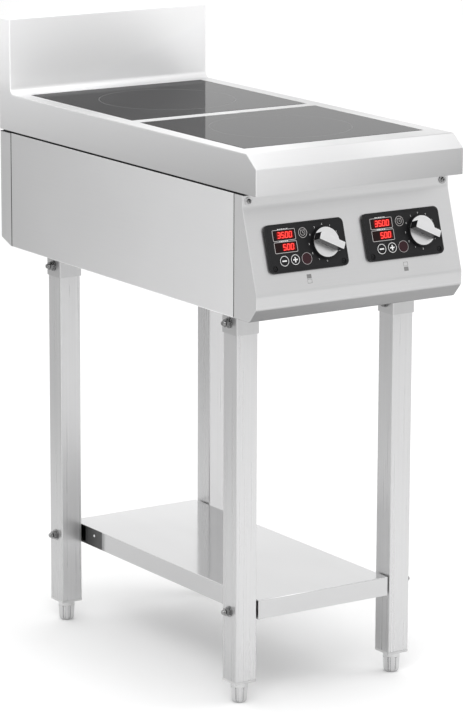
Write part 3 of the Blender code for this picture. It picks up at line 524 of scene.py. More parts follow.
def cooking_glass(name, zone):
    """Polished dark glass-ceramic with its printed ring."""
    low, high = GLASS[zone]
    material, links, shader = sheet_of(name)
    tree = material.node_tree
    ring = placed(tree, RING_PRINT, {"Centre": ((low.x + high.x) / 2, (low.y + high.y) / 2, 0)})
    moulded = placed(tree, MOULDING, {"Scale": 400.0, "Tone": (0.010, 0.010, 0.011, 1), "Gloss": 0.045})
    links.new(blended(tree, "RGBA", ring.outputs["Print"], moulded.outputs["Colour"], (0.16, 0.16, 0.16, 1)),
              shader.inputs["Base Color"])
    links.new(blended(tree, "FLOAT", ring.outputs["Print"], moulded.outputs["Roughness"], 0.25),
              shader.inputs["Roughness"])
    shader.inputs["IOR"].default_value = 1.052
    return material


def make_halo():
    """Soft glow on a window behind its lit figures."""
    group, given, result = effect(
        "figure_halo",
        [("Centre", "NodeSocketVector", (0, 0, 0)), ("Up", "NodeSocketVector", (0, 0, 1)),
         ("Half Width", "NodeSocketFloat", 0.014), ("Half Height", "NodeSocketFloat", 0.005)],
        [("Glow", "NodeSocketFloat")])
    place = wired(group, "ShaderNodeTexCoord")
    away = vectors(group, "SUBTRACT", place.outputs["Object"], given.outputs["Centre"])
    masks = []
    for way, half in (((1, 0, 0), "Half Width"), (given.outputs["Up"], "Half Height")):
        reach = maths(group, "ABSOLUTE", vectors(group, "DOT_PRODUCT", away, way, out="Value"))
        masks.append(ranged(group, maths(group, "SUBTRACT", reach, given.outputs[half]), 2.5 * MM, -1.5 * MM))
    group.links.new(maths(group, "MULTIPLY", *masks), result.inputs["Glow"])
    return group


HALO = make_halo()


def lit_window(side):
    """Dark red window of one panel with the glow of its figures."""
    material = plastic("window_red_" + side, (0.010, 0.001, 0.001), 0.10, 500, 0.0, 0.22)
    tree = material.node_tree
    glows = []
    for (u, v), lean, half in ((PANE_UPPER, 1.5 * MM, 14 * MM), (PANE_LOWER, 5.3 * MM, 10.5 * MM)):
        halo = placed(tree, HALO, {"Centre": PANEL[side] @ Vector((u + lean, v, FACE)),
                                   "Up": PANEL[side].col[1].xyz, "Half Width": half, "Half Height": 4.6 * MM})
        glows.append(halo.outputs["Glow"])
    power = maths(tree, "MULTIPLY", maths(tree, "ADD", *glows), 0.38)
    shader = tree.nodes["Principled BSDF"]
    shader.inputs["Emission Color"].default_value = (1.0, 0.012, 0.012, 1)
    tree.links.new(power, shader.inputs["Emission Strength"])
    return material


def glowing(name, colour, strength):
    """Lit segments behind the red window."""
    material, links, shader = sheet_of(name)
    moulded = placed(material.node_tree, MOULDING, {"Scale": 900.0, "Tone": (*colour, 1)})
    links.new(moulded.outputs["Colour"], shader.inputs["Base Color"])
    links.new(moulded.outputs["Colour"], shader.inputs["Emission Color"])
    shader.inputs["Emission Strength"].default_value = strength
    shader.inputs["Roughness"].default_value = 0.5
    return material


# In the steels below, the drift, level and shade values paint light and shade into the colour: tone that rises and
# falls with place, and darker faces that look the shade's way.
M = {
    "worktop": steel("worktop_satin", 0.74, 0.42, (8, 1200, 1200), 0.05, 0.03, 0.02, (-0.95, 0.30, 2.7), -1.336,
                     (-0.38, 0.155, 0.12), 0.8),
    "body": steel("body_satin", 0.82, 0.36, (12, 12, 1400), 0.05, 0.05, 0.02, (0, -0.45, 0), 1.0,
                  (0.30, 0.20, -0.3)),
    "fascia": steel("fascia_satin", 0.74, 0.33, (6, 900, 900), 0.07, 0.05, 0.02, (0, 0, 0), 1.0, (0, 0, -0.95)),
    "leg": steel("leg_tube_polish", 0.71, 0.29, (230, 230, 1.6), 0.15, 0.02, 0.02, (0, 0, 0.20), 0.868,
                 (-0.16, 0, -0.3)),
    # The socket steel is a darker copy of the leg steel: painted shade under the body.
    "socket": steel("socket_steel", 0.60, 0.33, (230, 230, 1.6), 0.10, 0.04, 0.02, (0, 0, 0), 1.0, (-0.10, 0, -0.3)),
    "shelf": steel("shelf_mirror", 0.71, 0.10, (30, 4, 30), 0.03, 0.03, 0.004, (0, 0, 0), 1.0, (-0.31, -0.20, -0.3)),
    # Near-black steel: painted shade for the inside of the body, the recess under the rim and the seams.
    "shade": steel("unlit_steel", 0.03, 0.6, (60, 60, 60), 0.1, 0.05),
    "bolt": steel("zinc_fastener", 0.28, 0.20, (300, 300, 300), 0.12, 0.05),
    "foot": steel("foot_bright", 0.62, 0.14, (400, 400, 30), 0.10, 0.04),
    "silver": steel("knob_silver_satin", 0.90, 0.30, (60, 900, 900), 0.05, 0.03),
    "bezel": plastic("bezel_black", (0.013, 0.013, 0.014), 0.38, 2600, 0.15, 0.22),
    "key": plastic("key_black", (0.010, 0.010, 0.011), 0.35, 2600, 0.15, 0.20),
    "knob": plastic("knob_black", (0.009, 0.009, 0.010), 0.33, 2600, 0.15, 0.25),
    "lamp": plastic("lamp_red", (0.035, 0.012, 0.016), 0.20, 700, 0.02, 0.22),
    "print": plastic("printed_white", (0.80, 0.80, 0.80), 0.45, 3000, 0.02),
    "trim": plastic("printed_silver", (0.45, 0.43, 0.43), 0.35, 3000, 0.02),
    "icon": plastic("printed_grey", (0.20, 0.20, 0.20), 0.5, 3000, 0.02),
    "plug": plastic("leg_plug_grey", (0.55, 0.55, 0.55), 0.45, 900, 0.1),
    "silicone": plastic("silicone_grey", (0.25, 0.25, 0.25), 0.55, 900, 0.1),
    "gland": plastic("gland_nylon", (0.05, 0.05, 0.055), 0.5, 900, 0.1),
    "board": plastic("board_green", (0.02, 0.10, 0.05), 0.4, 500, 0.1),
    "fan": plastic("fan_black", (0.025, 0.025, 0.027), 0.45, 900, 0.1),
    "terminal": plastic("terminal_cream", (0.70, 0.66, 0.55), 0.5, 900, 0.1),
    "copper": steel("coil_copper", 0.60, 0.35, (200, 200, 200), 0.2, 0.05),
    "aluminium": steel("tray_aluminium", 0.75, 0.4, (800, 14, 800), 0.08, 0.05),
    "lit": glowing("digits_lit", (1.0, 0.045, 0.035), 1.6),
}


def between(tree, axis, start, end, low=0.0, high=1.0):
    """A value that eases from low to high between two places along an axis."""
    place = wired(tree, "ShaderNodeTexCoord")
    split = wired(tree, "ShaderNodeSeparateXYZ")
    tree.links.new(place.outputs["Object"], split.inputs[0])
    return ranged(tree, split.outputs[axis], start, end, low, high)


def softened(material, metal):
    """Mixes some scattered light into a steel finish."""
    material.node_tree.nodes["Principled BSDF"].inputs["Metallic"].default_value = metal


def softened_splashback():
    """Scatters light above the worktop, so the splashback mirrors the dark glass less."""
    tree = M["worktop"].node_tree
    metal = between(tree, "Z", SURFACE + 4 * MM, SURFACE + 24 * MM, 1.0, 0.55)
    tree.links.new(metal, tree.nodes["Principled BSDF"].inputs["Metallic"])


def darkened_corner():
    """Paints a dark patch on the tray's left edge where it stands against the rear leg: a painted reflection of the
    shaded leg.
    """
    tree = M["shelf"].node_tree
    shader = tree.nodes["Principled BSDF"]
    bright = shader.inputs["Base Color"].links[0].from_socket
    leg_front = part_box("leg_rear_left")[0].y
    start = leg_front - 63 * MM
    depth = between(tree, "Y", start, leg_front)
    # painted reflection of the shaded leg: the flange grows darker towards the leg
    dark = blended(tree, "RGBA", depth, (0.14, 0.14, 0.14, 1), (0.03, 0.03, 0.03, 1))
    both = maths(tree, "MULTIPLY", between(tree, "Y", start, start + 1.5 * MM),
                 between(tree, "X", SHELF_LOW.x + 0.3 * MM, SHELF_LOW.x + 0.8 * MM, 1.0, 0.0))
    tree.links.new(blended(tree, "RGBA", both, bright, dark), shader.inputs["Base Color"])


softened_splashback()
softened(M["leg"], 0.72)
darkened_corner()


# ------------------------------------------------------------------ worktop
def make_worktop():
    """One folded sheet: nose, top, splashback and skirts, with two sunk frames for the glass."""
    nose_fall, nose_run = 21 * MM, 27.5 * MM
    left = -TOP_HIGH.x
    foot = BACK - SPLASH
    top = drawn("worktop_sheet", [
        (left, NOSE, RIM), (left, NOSE, SURFACE - nose_fall), (left, NOSE + nose_run, SURFACE),
        (left, foot, SURFACE), (left, foot, TOP_HIGH.z), (left, BACK, TOP_HIGH.z), (left, BACK, RIM)],
        (2 * TOP_HIGH.x, 0, 0))
    rounded(top, 12 * MM, 7, lambda mid, way: abs(mid.y - foot) < 1e-4 and abs(mid.z - SURFACE) < 1e-4)
    rounded(top, 1.9 * MM, 5, lambda mid, way: mid.z > RIM + 1e-4)
    opened(top, lambda mid, way: way.z < -0.9 and mid.z < RIM + 1e-4)
    walled(top, SHEET)
    for zone, (low, high) in GLASS.items():
        gap = 2 * MM
        x, y0, y1 = high.x + gap, low.y - gap, high.y + gap
        carved(top, block("window", (-x, y0, SURFACE - 5 * MM), (x, y1, SURFACE + 5 * MM)))
        ledge = block("ledge_" + zone, (-x, y0, SURFACE - 5.5 * MM), (x, y1, SURFACE - SHEET))
        pick(ledge, "FACE", lambda mid, way: way.z < -0.9)
        bpy.ops.mesh.inset(thickness=12 * MM)
        bpy.ops.mesh.delete(type="FACE")
        rest()
        opened(ledge, lambda mid, way: way.z > 0.9)
        walled(ledge, THIN_SHEET, 1)
        together(top, ledge)
    return fitted(smoothed(top), M["worktop"], ROOT, ["worktop"])


# ------------------------------------------------------------------ body
def collared(piece, edge, open_side):
    """Adds the upper wall that steps in behind the worktop's rim."""
    top = BODY_HIGH.z
    step = COLLAR_STEP if edge < open_side else -COLLAR_STEP
    low, high = sorted((edge + step, open_side))
    x = BODY_HIGH.x - COLLAR_STEP
    wall = block("collar", (-x, low, BODY_RIM), (x, high, top))
    opened(wall, lambda mid, way: abs(way.z) > 0.9 or abs(mid.y - open_side) < 1e-5)
    pick(wall, "EDGE", lambda mid, way, e: mid.z < BODY_RIM + 1e-5 and abs(way.z) < 0.1)
    bpy.ops.mesh.extrude_region_move(TRANSFORM_OT_translate={"value": (0, 0, 0)})
    bpy.ops.transform.resize(value=(BODY_HIGH.x / x, (edge - open_side) / (edge + step - open_side), 1),
                             center_override=(0, open_side, BODY_RIM))
    bpy.ops.mesh.select_all(action="SELECT")
    bpy.ops.mesh.normals_make_consistent(inside=False)
    rest()
    return together(piece, smoothed(walled(wall, 1 * MM)))


def make_fascia():
    """Control fascia: strip, slant, upright and chamfer in one sheet, closed by its cheeks."""
    left = FACE_LOW.x
    back = NOSE + FASCIA_DEPTH
    face = NOSE - FACE_AHEAD
    panel = drawn("fascia_sheet", [
        (left, back, BODY_RIM), (left, NOSE + STRIP_BACK, BODY_RIM),
        (left, NOSE + STRIP_BACK, SURFACE - STRIP_FALL), (left, face, SURFACE - SLANT_FALL),
        (left, face, SURFACE - UPRIGHT_FALL), (left, face + CHEEK_CHAMFER, BODY_FLOOR),
        (left, back, BODY_FLOOR)], (2 * abs(left), 0, 0))
    front = lambda mid, way: abs(way.x) > 0.9 and mid.y < back - 5 * MM and mid.z < BODY_RIM - 1e-4
    rounded(panel, 3 * MM, 5, front, 10)
    rounded(panel, 1.3 * MM, 3, lambda mid, way: abs(mid.x) > abs(left) - 1e-4 and mid.y < back - 1e-4)
    opened(panel, lambda mid, way: way.y > 0.9 and mid.y > back - 1e-4)
    opened(panel, lambda mid, way: way.z > 0.9 and mid.z > BODY_RIM - 1e-4)
    walled(panel, THIN_SHEET)
    for side in SIDES:
        carved(panel, settle(block("opening", (-61 * MM, -30 * MM, -10 * MM), (61 * MM, 30 * MM, 10 * MM)),
                             PANEL[side]))
    collared(smoothed(panel), NOSE + STRIP_BACK, back)
    return shaded_inside(fitted(panel, M["fascia"], ROOT, ["control_fascia"]))


def make_body():
    """Folded bottom and sides with four welded leg sockets."""
    x = BODY_HIGH.x
    y0, y1 = BODY_LOW.y, BODY_HIGH.y
    step = COLLAR_STEP
    shell = drawn("body_sheet", [
        (-x, y0, BODY_FLOOR), (-x, y0, BODY_RIM), (step - x, y0, BODY_RIM), (step - x, y0, BODY_HIGH.z),
        (x - step, y0, BODY_HIGH.z), (x - step, y0, BODY_RIM), (x, y0, BODY_RIM), (x, y0, BODY_FLOOR)],
        (0, y1 - y0, 0))
    rounded(shell, 1.8 * MM, 4, lambda mid, way: abs(way.y) > 0.9 and mid.z < BODY_FLOOR + 1e-4)
    rounded(shell, 0.8 * MM, 3, lambda mid, way: abs(way.y) > 0.9 and abs(mid.z - BODY_RIM) < 1e-4
            and abs(mid.x) > x - 1e-4)
    opened(shell, lambda mid, way: abs(way.y) > 0.9 or (way.z > 0.9 and mid.z > BODY_HIGH.z - 1e-4))
    walled(shell, THIN_SHEET)
    rounded(shell, 0.35 * MM, 2, lambda mid, way: mid.y < y0 + 1e-4 or mid.y > y1 - 1e-4)
    for sign in (-1, 1):
        for slot in range(6):
            y = NOSE + 175 * MM + (slot - 2.5) * 14 * MM
            cut = block("intake", (sign * VENT_MIDDLE - 38 * MM, y - 2.5 * MM, BODY_FLOOR - 10 * MM),
                        (sign * VENT_MIDDLE + 38 * MM, y + 2.5 * MM, BODY_FLOOR + 10 * MM))
            rounded(cut, 2.4 * MM, 4, lambda mid, way: abs(way.z) > 0.9)
            carved(shell, cut)
    smoothed(shell)
    for corner in CORNERS:
        low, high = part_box("leg_" + corner)
        grow = 2 * MM
        socket = block("socket_" + corner, (low.x - grow, low.y - grow, BODY_FLOOR - SOCKET_FALL),
                       (high.x + grow, high.y + grow, BODY_FLOOR))
        rounded(socket, 3 * MM, 4, lambda mid, way: abs(way.z) > 0.9)
        opened(socket, lambda mid, way: abs(way.z) > 0.9)
        walled(socket, 1.7 * MM)
        rounded(socket, 0.4 * MM, 2, lambda mid, way: mid.z < BODY_FLOOR - SOCKET_FALL + 1e-4)
        smoothed(socket)
        together(shell, socket)
    shaded_inside(fitted(shell, M["body"], ROOT, ["chassis"]))
    # The sockets below the floor take the darker socket steel: painted shade under the body.
    shell.data.materials.append(M["socket"])
    for face in shell.data.polygons:
        if face.center.z < BODY_FLOOR - 0.1 * MM:
            face.material_index = 2
    return shell


def make_rear_panel():
    """Rear panel with its returns, lower chamfer and exhaust slots."""
    left = REAR_LOW.x
    front = REAR_LOW.y
    panel = drawn("rear_sheet", [
        (left, front, BODY_RIM), (left, BACK, BODY_RIM), (left, BACK, BODY_FLOOR + 12 * MM),
        (left, BACK - 32 * MM, BODY_FLOOR), (left, front, BODY_FLOOR)], (2 * abs(left), 0, 0))
    rounded(panel, 1.8 * MM, 4, lambda mid, way: mid.y > front + 1e-4 and mid.z < BODY_RIM - 1e-4, 15)
    opened(panel, lambda mid, way: way.y < -0.9 and mid.y < front + 1e-4)
    opened(panel, lambda mid, way: way.z > 0.9 and mid.z > BODY_RIM - 1e-4)
    walled(panel, THIN_SHEET)
    for sign in (-1, 1):
        for slot in range(6):
            z = BODY_FLOOR + 80 * MM + slot * 15 * MM
            cut = block("vent", (sign * VENT_MIDDLE - 50 * MM, BACK - 10 * MM, z - 2 * MM),
                        (sign * VENT_MIDDLE + 50 * MM, BACK + 10 * MM, z + 2 * MM))
            rounded(cut, 1.9 * MM, 4, lambda mid, way: abs(way.y) > 0.9)
            carved(panel, cut)
    collared(smoothed(panel), BACK, front)
    return shaded_inside(fitted(panel, M["body"], ROOT, ["rear_panel"]))


# ------------------------------------------------------------------ stand
def make_leg(corner):
    """Square tube with rounded corners and its plastic plug."""
    low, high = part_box("leg_" + corner)
    band = 4.4 * MM
    tube = block("leg_tube_" + corner, (low.x, low.y, low.z + band), (high.x, high.y, high.z))
    rounded(tube, 2.2 * MM, 5, lambda mid, way: abs(way.z) > 0.9)
    opened(tube, lambda mid, way: abs(way.z) > 0.9)
    walled(tube, SHEET)
    rounded(tube, 0.3 * MM, 2, lambda mid, way: mid.z < low.z + band + 1e-4)
    fitted(smoothed(tube), M["leg"], ROOT, ["leg_" + corner])
    plug = block("leg_plug_" + corner, (low.x + 0.2 * MM, low.y + 0.2 * MM, low.z),
                 (high.x - 0.2 * MM, high.y - 0.2 * MM, low.z + band - 0.1 * MM))
    pick(plug, "FACE", lambda mid, way: way.z > 0.9)
    bpy.ops.mesh.inset(thickness=2.0 * MM)
    bpy.ops.mesh.extrude_region_move(TRANSFORM_OT_translate={"value": (0, 0, 22 * MM)})
    rest()
    rounded(plug, 0.8 * MM, 3)
    middle = (low + high) / 2
    carved(plug, drum("stem_bore", 4.3 * MM, low.z - 5 * MM, low.z + 40 * MM, 32, (middle.x, middle.y)))
    return fitted(smoothed(plug), M["plug"])


def make_foot():
    """Levelling foot: fluted column under a plain collar, on a threaded stem."""
    low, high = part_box("foot_front_left")
    middle = (low + high) / 2
    r = 14.2 * MM
    collar = 34.6 * MM
    profile = [(0, 0), (9.0 * MM, 0), (10.8 * MM, 0.7 * MM), (12.0 * MM, 2.4 * MM), (12.8 * MM, 5 * MM),
               (13.3 * MM, 13 * MM), (13.7 * MM, 21 * MM), (13.9 * MM, 25.5 * MM), (r, 27 * MM), (r, 28 * MM),
               (r, collar - 0.8 * MM),
               (r - 0.8 * MM, collar), (5 * MM, collar), (4 * MM, collar + 0.6 * MM)]
    z = collar + 0.6 * MM
    while z < high.z - 3 * MM:
        profile += [(3.45 * MM, z + 0.5 * MM), (3.95 * MM, z + 1.1 * MM)]
        z += 1.25 * MM
    profile += [(3.4 * MM, high.z), (0, high.z)]
    foot = spun("foot_front_left_fluted", profile, 64)
    inside = lambda co: math.cos(8 * math.atan2(co.y, co.x) + 0.6)
    pick(foot, "VERT", lambda co, way: 0.5 * MM < co.z < 26 * MM and co.xy.length > 9 * MM and inside(co) > 0.3)
    bpy.ops.transform.resize(value=(0.82, 0.82, 1), center_override=(0, 0, 0))
    rest()
    settle(foot, Matrix.Translation((middle.x, middle.y, 0)))
    smoothed(foot, 40)
    for corner in CORNERS[1:]:
        spot = (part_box("foot_" + corner)[0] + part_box("foot_" + corner)[1]) / 2 - middle
        twin = copied(foot, f"foot_{corner}_fluted", Matrix.Translation((spot.x, spot.y, 0)))
        fitted(twin, M["foot"], "foot_" + corner, ["foot_" + corner])
    return fitted(foot, M["foot"], "foot_front_left", ["foot_front_left"])


def hexagon(name, across, low, high):
    """Hexagon nut or head with turned corners."""
    piece = drum(name, across / math.sqrt(3), low, high, 6)
    cone = across / math.sqrt(3) * 1.12
    cutter = spun("turning", [(0, low - 1 * MM), (cone, low - 1 * MM), (cone, high - 0.9 * MM),
                              (across / 2 * 0.95, high + 0.25 * MM), (0, high + 0.25 * MM)], 48)
    worked(piece, "BOOLEAN", operation="INTERSECT", solver="EXACT", object=cutter)
    bpy.data.objects.remove(cutter, do_unlink=True)
    return piece


def thread(name, low, high, radius=4 * MM, pitch=1.25 * MM):
    profile = [(0, low), (radius * 0.88, low)]
    z = low
    while z < high - pitch:
        profile += [(radius, z + pitch * 0.45), (radius * 0.88, z + pitch * 0.95)]
        z += pitch
    profile += [(radius * 0.86, high), (0, high)]
    return spun(name, profile, 32)


def make_bolt(name, node):
    """Through bolt along X: head inside, nut and thread end outside."""
    low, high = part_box(node)
    outside = 1 if high.x > 0 and abs(high.x) > abs(low.x) else -1
    middle = (low + high) / 2
    leg_low, leg_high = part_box(node.replace("leg_bolt", "leg").replace("shelf_bolt", "leg"))
    centre = (leg_low + leg_high) / 2
    at_socket = node.startswith("leg_bolt")
    outer = (22 if at_socket else 20) * MM + 0.3 * MM
    inner = (22 if at_socket else 24.7) * MM + 0.3 * MM
    pieces = [
        thread("rod", -inner - 3 * MM, outer + 1.6 * MM + 6.5 * MM + 5 * MM),
        rounded(washer("washer_out", 9 * MM, 4.3 * MM, outer, outer + 1.6 * MM), 0.3 * MM, 2),
        rounded(washer("washer_in", 9 * MM, 4.3 * MM, -inner - 1.6 * MM, -inner), 0.3 * MM, 2),
        hexagon("nut", 13 * MM, outer + 1.65 * MM, outer + 8.1 * MM),
    ]
    head = hexagon("head", 13 * MM, inner + 1.65 * MM, inner + 6.8 * MM)
    pieces.append(settle(head, Matrix.Rotation(math.pi, 4, "Y")))
    if not at_socket:
        pieces.append(rounded(washer("spacer", 9 * MM, 4.3 * MM, -23.2 * MM, -20.3 * MM), 0.3 * MM, 2))
    bolt = together(*pieces)
    bolt.name = bolt.data.name = name
    turn = Matrix.Rotation(outside * math.pi / 2, 4, "Y")
    settle(bolt, Matrix.Translation((centre.x, centre.y, middle.z)) @ turn @ Matrix.Rotation(0.35, 4, "Z"))
    return fitted(smoothed(bolt, 30), M["bolt"], ROOT, [node])


def make_shelf():
    """Shelf tray with turned-down edges and one rivet."""
    tray = block("shelf_tray", SHELF_LOW, SHELF_HIGH)
    rounded(tray, 1.6 * MM, 4, lambda mid, way: mid.z > SHELF_HIGH.z - 1e-4)
    rounded(tray, 0.9 * MM, 3, lambda mid, way: abs(way.z) > 0.9)
    opened(tray, lambda mid, way: way.z < -0.9)
    walled(tray, THIN_SHEET)
    fitted(smoothed(tray), M["shelf"], ROOT, ["shelf"])
    rivet = spun("shelf_rivet", [(0, 0.2 * MM), (2.4 * MM, 0.2 * MM), (2.4 * MM, 0.5 * MM), (1.9 * MM, 1.0 * MM),
                                 (1.1 * MM, 1.3 * MM), (0, 1.4 * MM)], 24)
    settle(rivet, Matrix.Translation((SHELF_LOW.x, NOSE + 607.6 * MM, SURFACE - 759.8 * MM))
           @ Matrix.Rotation(-math.pi / 2, 4, "Y"))
    return fitted(smoothed(rivet), M["silver"])


# ------------------------------------------------------------------ control panels
def panel_place(side):
    """Plane of a control panel: X right, Y up the slope, Z out of the steel."""
    joint = next(j for j in frame["joints"] if j["name"] == "knob_turn_" + side)
    out = Vector(joint["axis"]).normalized()
    right = Vector((1, 0, 0))
    up = out.cross(right)
    spot = Vector(joint["pos_m"]) - right * KNOB[0] - up * KNOB[1]
    place = Matrix((right, up, out)).transposed().to_4x4()
    place.translation = spot
    return place


PANEL = {side: panel_place(side) for side in SIDES}


def plate(name, width, height, radius, low, high, centre=(0, 0), steps=6):
    """Rectangular plate with rounded corners."""
    cx, cy = centre
    piece = block(name, (cx - width / 2, cy - height / 2, low), (cx + width / 2, cy + height / 2, high))
    return rounded(piece, radius, steps, lambda mid, way: abs(way.z) > 0.9)


def border(name, width, height, radius, line, low, high, centre):
    """Thin printed outline of a rectangle."""
    piece = plate(name, width, height, radius, low, high, centre, 4)
    return carved(piece, plate("inside", width - 2 * line, height - 2 * line, max(radius - line, 0.2 * MM),
                               low - 1 * MM, high + 1 * MM, centre, 4))


def make_bezel():
    """Black moulding with a raised rim, hollow behind, with its windows and screw seats."""
    width, height, thick = BEZEL
    wall = 2 * MM
    ceiling = thick - wall
    bezel = plate("bezel_left_moulding", width, height, BEZEL_CORNER, 0.3 * MM, thick, (0, 0), 8)
    rounded(bezel, 1.2 * MM, 3, lambda mid, way: mid.z > thick - 1e-5, 60)
    pick(bezel, "FACE", lambda mid, way: way.z > 0.95 and mid.z > thick - 1e-5)
    bpy.ops.mesh.inset(thickness=2.2 * MM)
    bpy.ops.mesh.inset(thickness=0.5 * MM)
    bpy.ops.transform.translate(value=(0, 0, FACE - thick))
    rest()
    carved(bezel, plate("hollow", width - 2 * wall, height - 2 * wall, BEZEL_CORNER - wall, -10 * MM, ceiling))
    for sign in (-1, 1):
        x, y = sign * CORNER_SCREW[0], CORNER_SCREW[1]
        seat = drum("seat", 5.6 * MM, 0.6 * MM, ceiling + 0.3 * MM, 40, (x, y))
        worked(bezel, "BOOLEAN", operation="UNION", solver="EXACT", object=seat)
        bpy.data.objects.remove(seat, do_unlink=True)
        carved(bezel, drum("counterbore", 4.5 * MM, thick - 2.8 * MM, thick + 5 * MM, 40, (x, y)),
               drum("screw_hole", 1.7 * MM, -5 * MM, thick, 20, (x, y)))
    for centre in (PANE_UPPER, PANE_LOWER):
        carved(bezel, plate("window", PANE[0] + 0.6 * MM, PANE[1] + 0.6 * MM, 1.2 * MM, ceiling - 1 * MM,
                            thick + 5 * MM, centre, 3))
    carved(bezel, drum("lamp_hole", LAMP_R + 0.3 * MM, ceiling - 1 * MM, thick + 5 * MM, 48, LAMP),
           drum("shaft_hole", 4 * MM, ceiling - 1 * MM, thick + 5 * MM, 24, KNOB))
    for spot in KEYS.values():
        carved(bezel, drum("key_hole", KEY_R + 0.3 * MM, ceiling - 1 * MM, thick + 5 * MM, 48, spot))
    return smoothed(bezel, 30)


def make_windows():
    """Red display windows on one backing plate."""
    ceiling = BEZEL[2] - 2 * MM
    top = ceiling - 0.3 * MM
    low_edge = KEYS["plus"][1] + KEY_R + 2.6 * MM
    high_edge = PANE_UPPER[1] + PANE[1] / 2 + 0.7 * MM
    x0 = PANE_UPPER[0] - PANE[0] / 2 - 1.5 * MM
    x1 = PANE_UPPER[0] + PANE[0] / 2 + 1.5 * MM
    backing = plate("display_left_window", x1 - x0, high_edge - low_edge, 1 * MM, top - 1.5 * MM, top,
                    ((x0 + x1) / 2, (low_edge + high_edge) / 2), 3)
    parts = [backing]
    for label, centre in (("upper", PANE_UPPER), ("lower", PANE_LOWER)):
        pane = plate("pane_" + label, *PANE, 1 * MM, top - 0.5 * MM, FACE + 0.25 * MM, centre, 3)
        parts.append(rounded(pane, 0.25 * MM, 2, lambda mid, way: mid.z > FACE, 60))
    return smoothed(together(*parts))


def make_lamp():
    """Round lamp pane, slightly domed."""
    top = BEZEL[2] - 2.3 * MM
    lamp = spun("lamp_left_pane", [
        (0, top - 1.2 * MM), (LAMP_R + 1 * MM, top - 1.2 * MM), (LAMP_R + 1 * MM, top), (LAMP_R, top),
        (LAMP_R, FACE), (LAMP_R - 0.3 * MM, FACE + 0.2 * MM), (LAMP_R * 0.6, FACE + 0.3 * MM), (0, FACE + 0.35 * MM)],
        48)
    return smoothed(settle(lamp, Matrix.Translation((*LAMP, 0))))


def make_key_cap(label):
    """Round key with a soft crown, its flange and stem."""
    ceiling = BEZEL[2] - 2.3 * MM
    cap = spun(f"{label}_key_left_cap", [
        (0, -7.9 * MM), (2.5 * MM, -7.9 * MM), (2.5 * MM, ceiling - 1.2 * MM), (KEY_R + 1.1 * MM, ceiling - 1.2 * MM),
        (KEY_R + 1.1 * MM, ceiling), (KEY_R, ceiling), (KEY_R, FACE + 0.3 * MM), (KEY_R - 0.15 * MM, FACE + 0.6 * MM),
        (KEY_R - 0.5 * MM, FACE + 0.78 * MM), (KEY_R * 0.5, FACE + 0.80 * MM), (0, FACE + 0.80 * MM)], 56)
    return smoothed(settle(cap, Matrix.Translation((*KEYS[label], 0))))


def make_sign(label):
    """Ring and sign printed on a key."""
    low, high = FACE + 0.78 * MM, FACE + 0.88 * MM
    ring = washer(f"{label}_key_left_sign", KEY_R - 0.5 * MM, KEY_R - 1.35 * MM, low, high, 56)
    parts = [ring]
    if label == "timer":
        parts.append(washer("clock", 4.7 * MM, 4.0 * MM, low, high, 40))
        parts.append(plate("hand", 0.8 * MM, 3.6 * MM, 0.3 * MM, low, high, (0, 1.2 * MM), 2))
        hand = plate("short_hand", 2.6 * MM, 0.8 * MM, 0.3 * MM, low, high, (1.0 * MM, 0), 2)
        parts.append(settle(hand, Matrix.Rotation(-0.5, 4, "Z")))
        for turn in (0.9, 2.25):
            bell = plate("bell", 2.6 * MM, 0.8 * MM, 0.3 * MM, low, high, (5.6 * MM, 0), 2)
            bell = settle(bell, Matrix.Rotation(turn, 4, "Z"))
            parts.append(bell)
    else:
        parts.append(plate("bar", 8.6 * MM, 2.2 * MM, 0.3 * MM, low, high, (0, 0), 2))
        if label == "plus":
            parts.append(plate("post", 2.2 * MM, 8.6 * MM, 0.3 * MM, low - 0.02 * MM, high - 0.02 * MM, (0, 0), 2))
    sign = together(*parts)
    return settle(sign, Matrix.Translation((*KEYS[label], 0)))


SEGMENTS = {"0": "abcdef", "3": "abcdg", "5": "acdfg"}
STROKES = {"a": (0, 1, 0), "b": (0.5, 0.5, 1), "c": (0.5, -0.5, 1), "d": (0, -1, 0), "e": (-0.5, -0.5, 1),
           "f": (-0.5, 0.5, 1), "g": (0, 0, 0)}


def make_digits(name, text, centre, lit):
    """Seven-segment figures; lit picks the burning strokes, otherwise the dark ones."""
    wide, tall, line = 4.7 * MM, 8.8 * MM, 1.15 * MM
    pitch = 7.2 * MM
    low, high = FACE + 0.24 * MM, FACE + (0.34 if lit else 0.30) * MM
    rest()
    bpy.ops.mesh.primitive_circle_add(vertices=6, radius=line / 2, fill_type="NGON", location=(0, 0, low))
    stroke = settle(named("stroke"))
    pick(stroke, "VERT", lambda co, way: co.x > 0.1 * line)
    bpy.ops.transform.translate(value=(wide - 1.15 * line, 0, 0))
    bpy.ops.mesh.select_all(action="SELECT")
    bpy.ops.transform.translate(value=(-(wide - 1.15 * line) / 2, 0, 0))
    bpy.ops.mesh.extrude_region_move(TRANSFORM_OT_translate={"value": (0, 0, high - low)})
    bpy.ops.mesh.select_all(action="SELECT")
    bpy.ops.mesh.normals_make_consistent(inside=False)
    rest()
    lean = Matrix.Identity(4)
    lean[0][1] = math.tan(math.radians(8))
    parts = []
    for place, figure in enumerate(text):
        if figure == " ":
            continue
        for key, (dx, dy, upright) in STROKES.items():
            if (key in SEGMENTS[figure]) != lit:
                continue
            spot = Vector(((place - 1.5) * pitch + dx * wide + 1.2 * MM, dy * tall / 2, 0))
            turn = Matrix.Rotation(upright * math.pi / 2, 4, "Z")
            parts.append(copied(stroke, name + key, Matrix.Translation((*centre, 0)) @ lean
                                @ Matrix.Translation(spot) @ turn))
    bpy.data.objects.remove(stroke, do_unlink=True)
    digits = together(*parts)
    digits.name = digits.data.name = name
    return digits


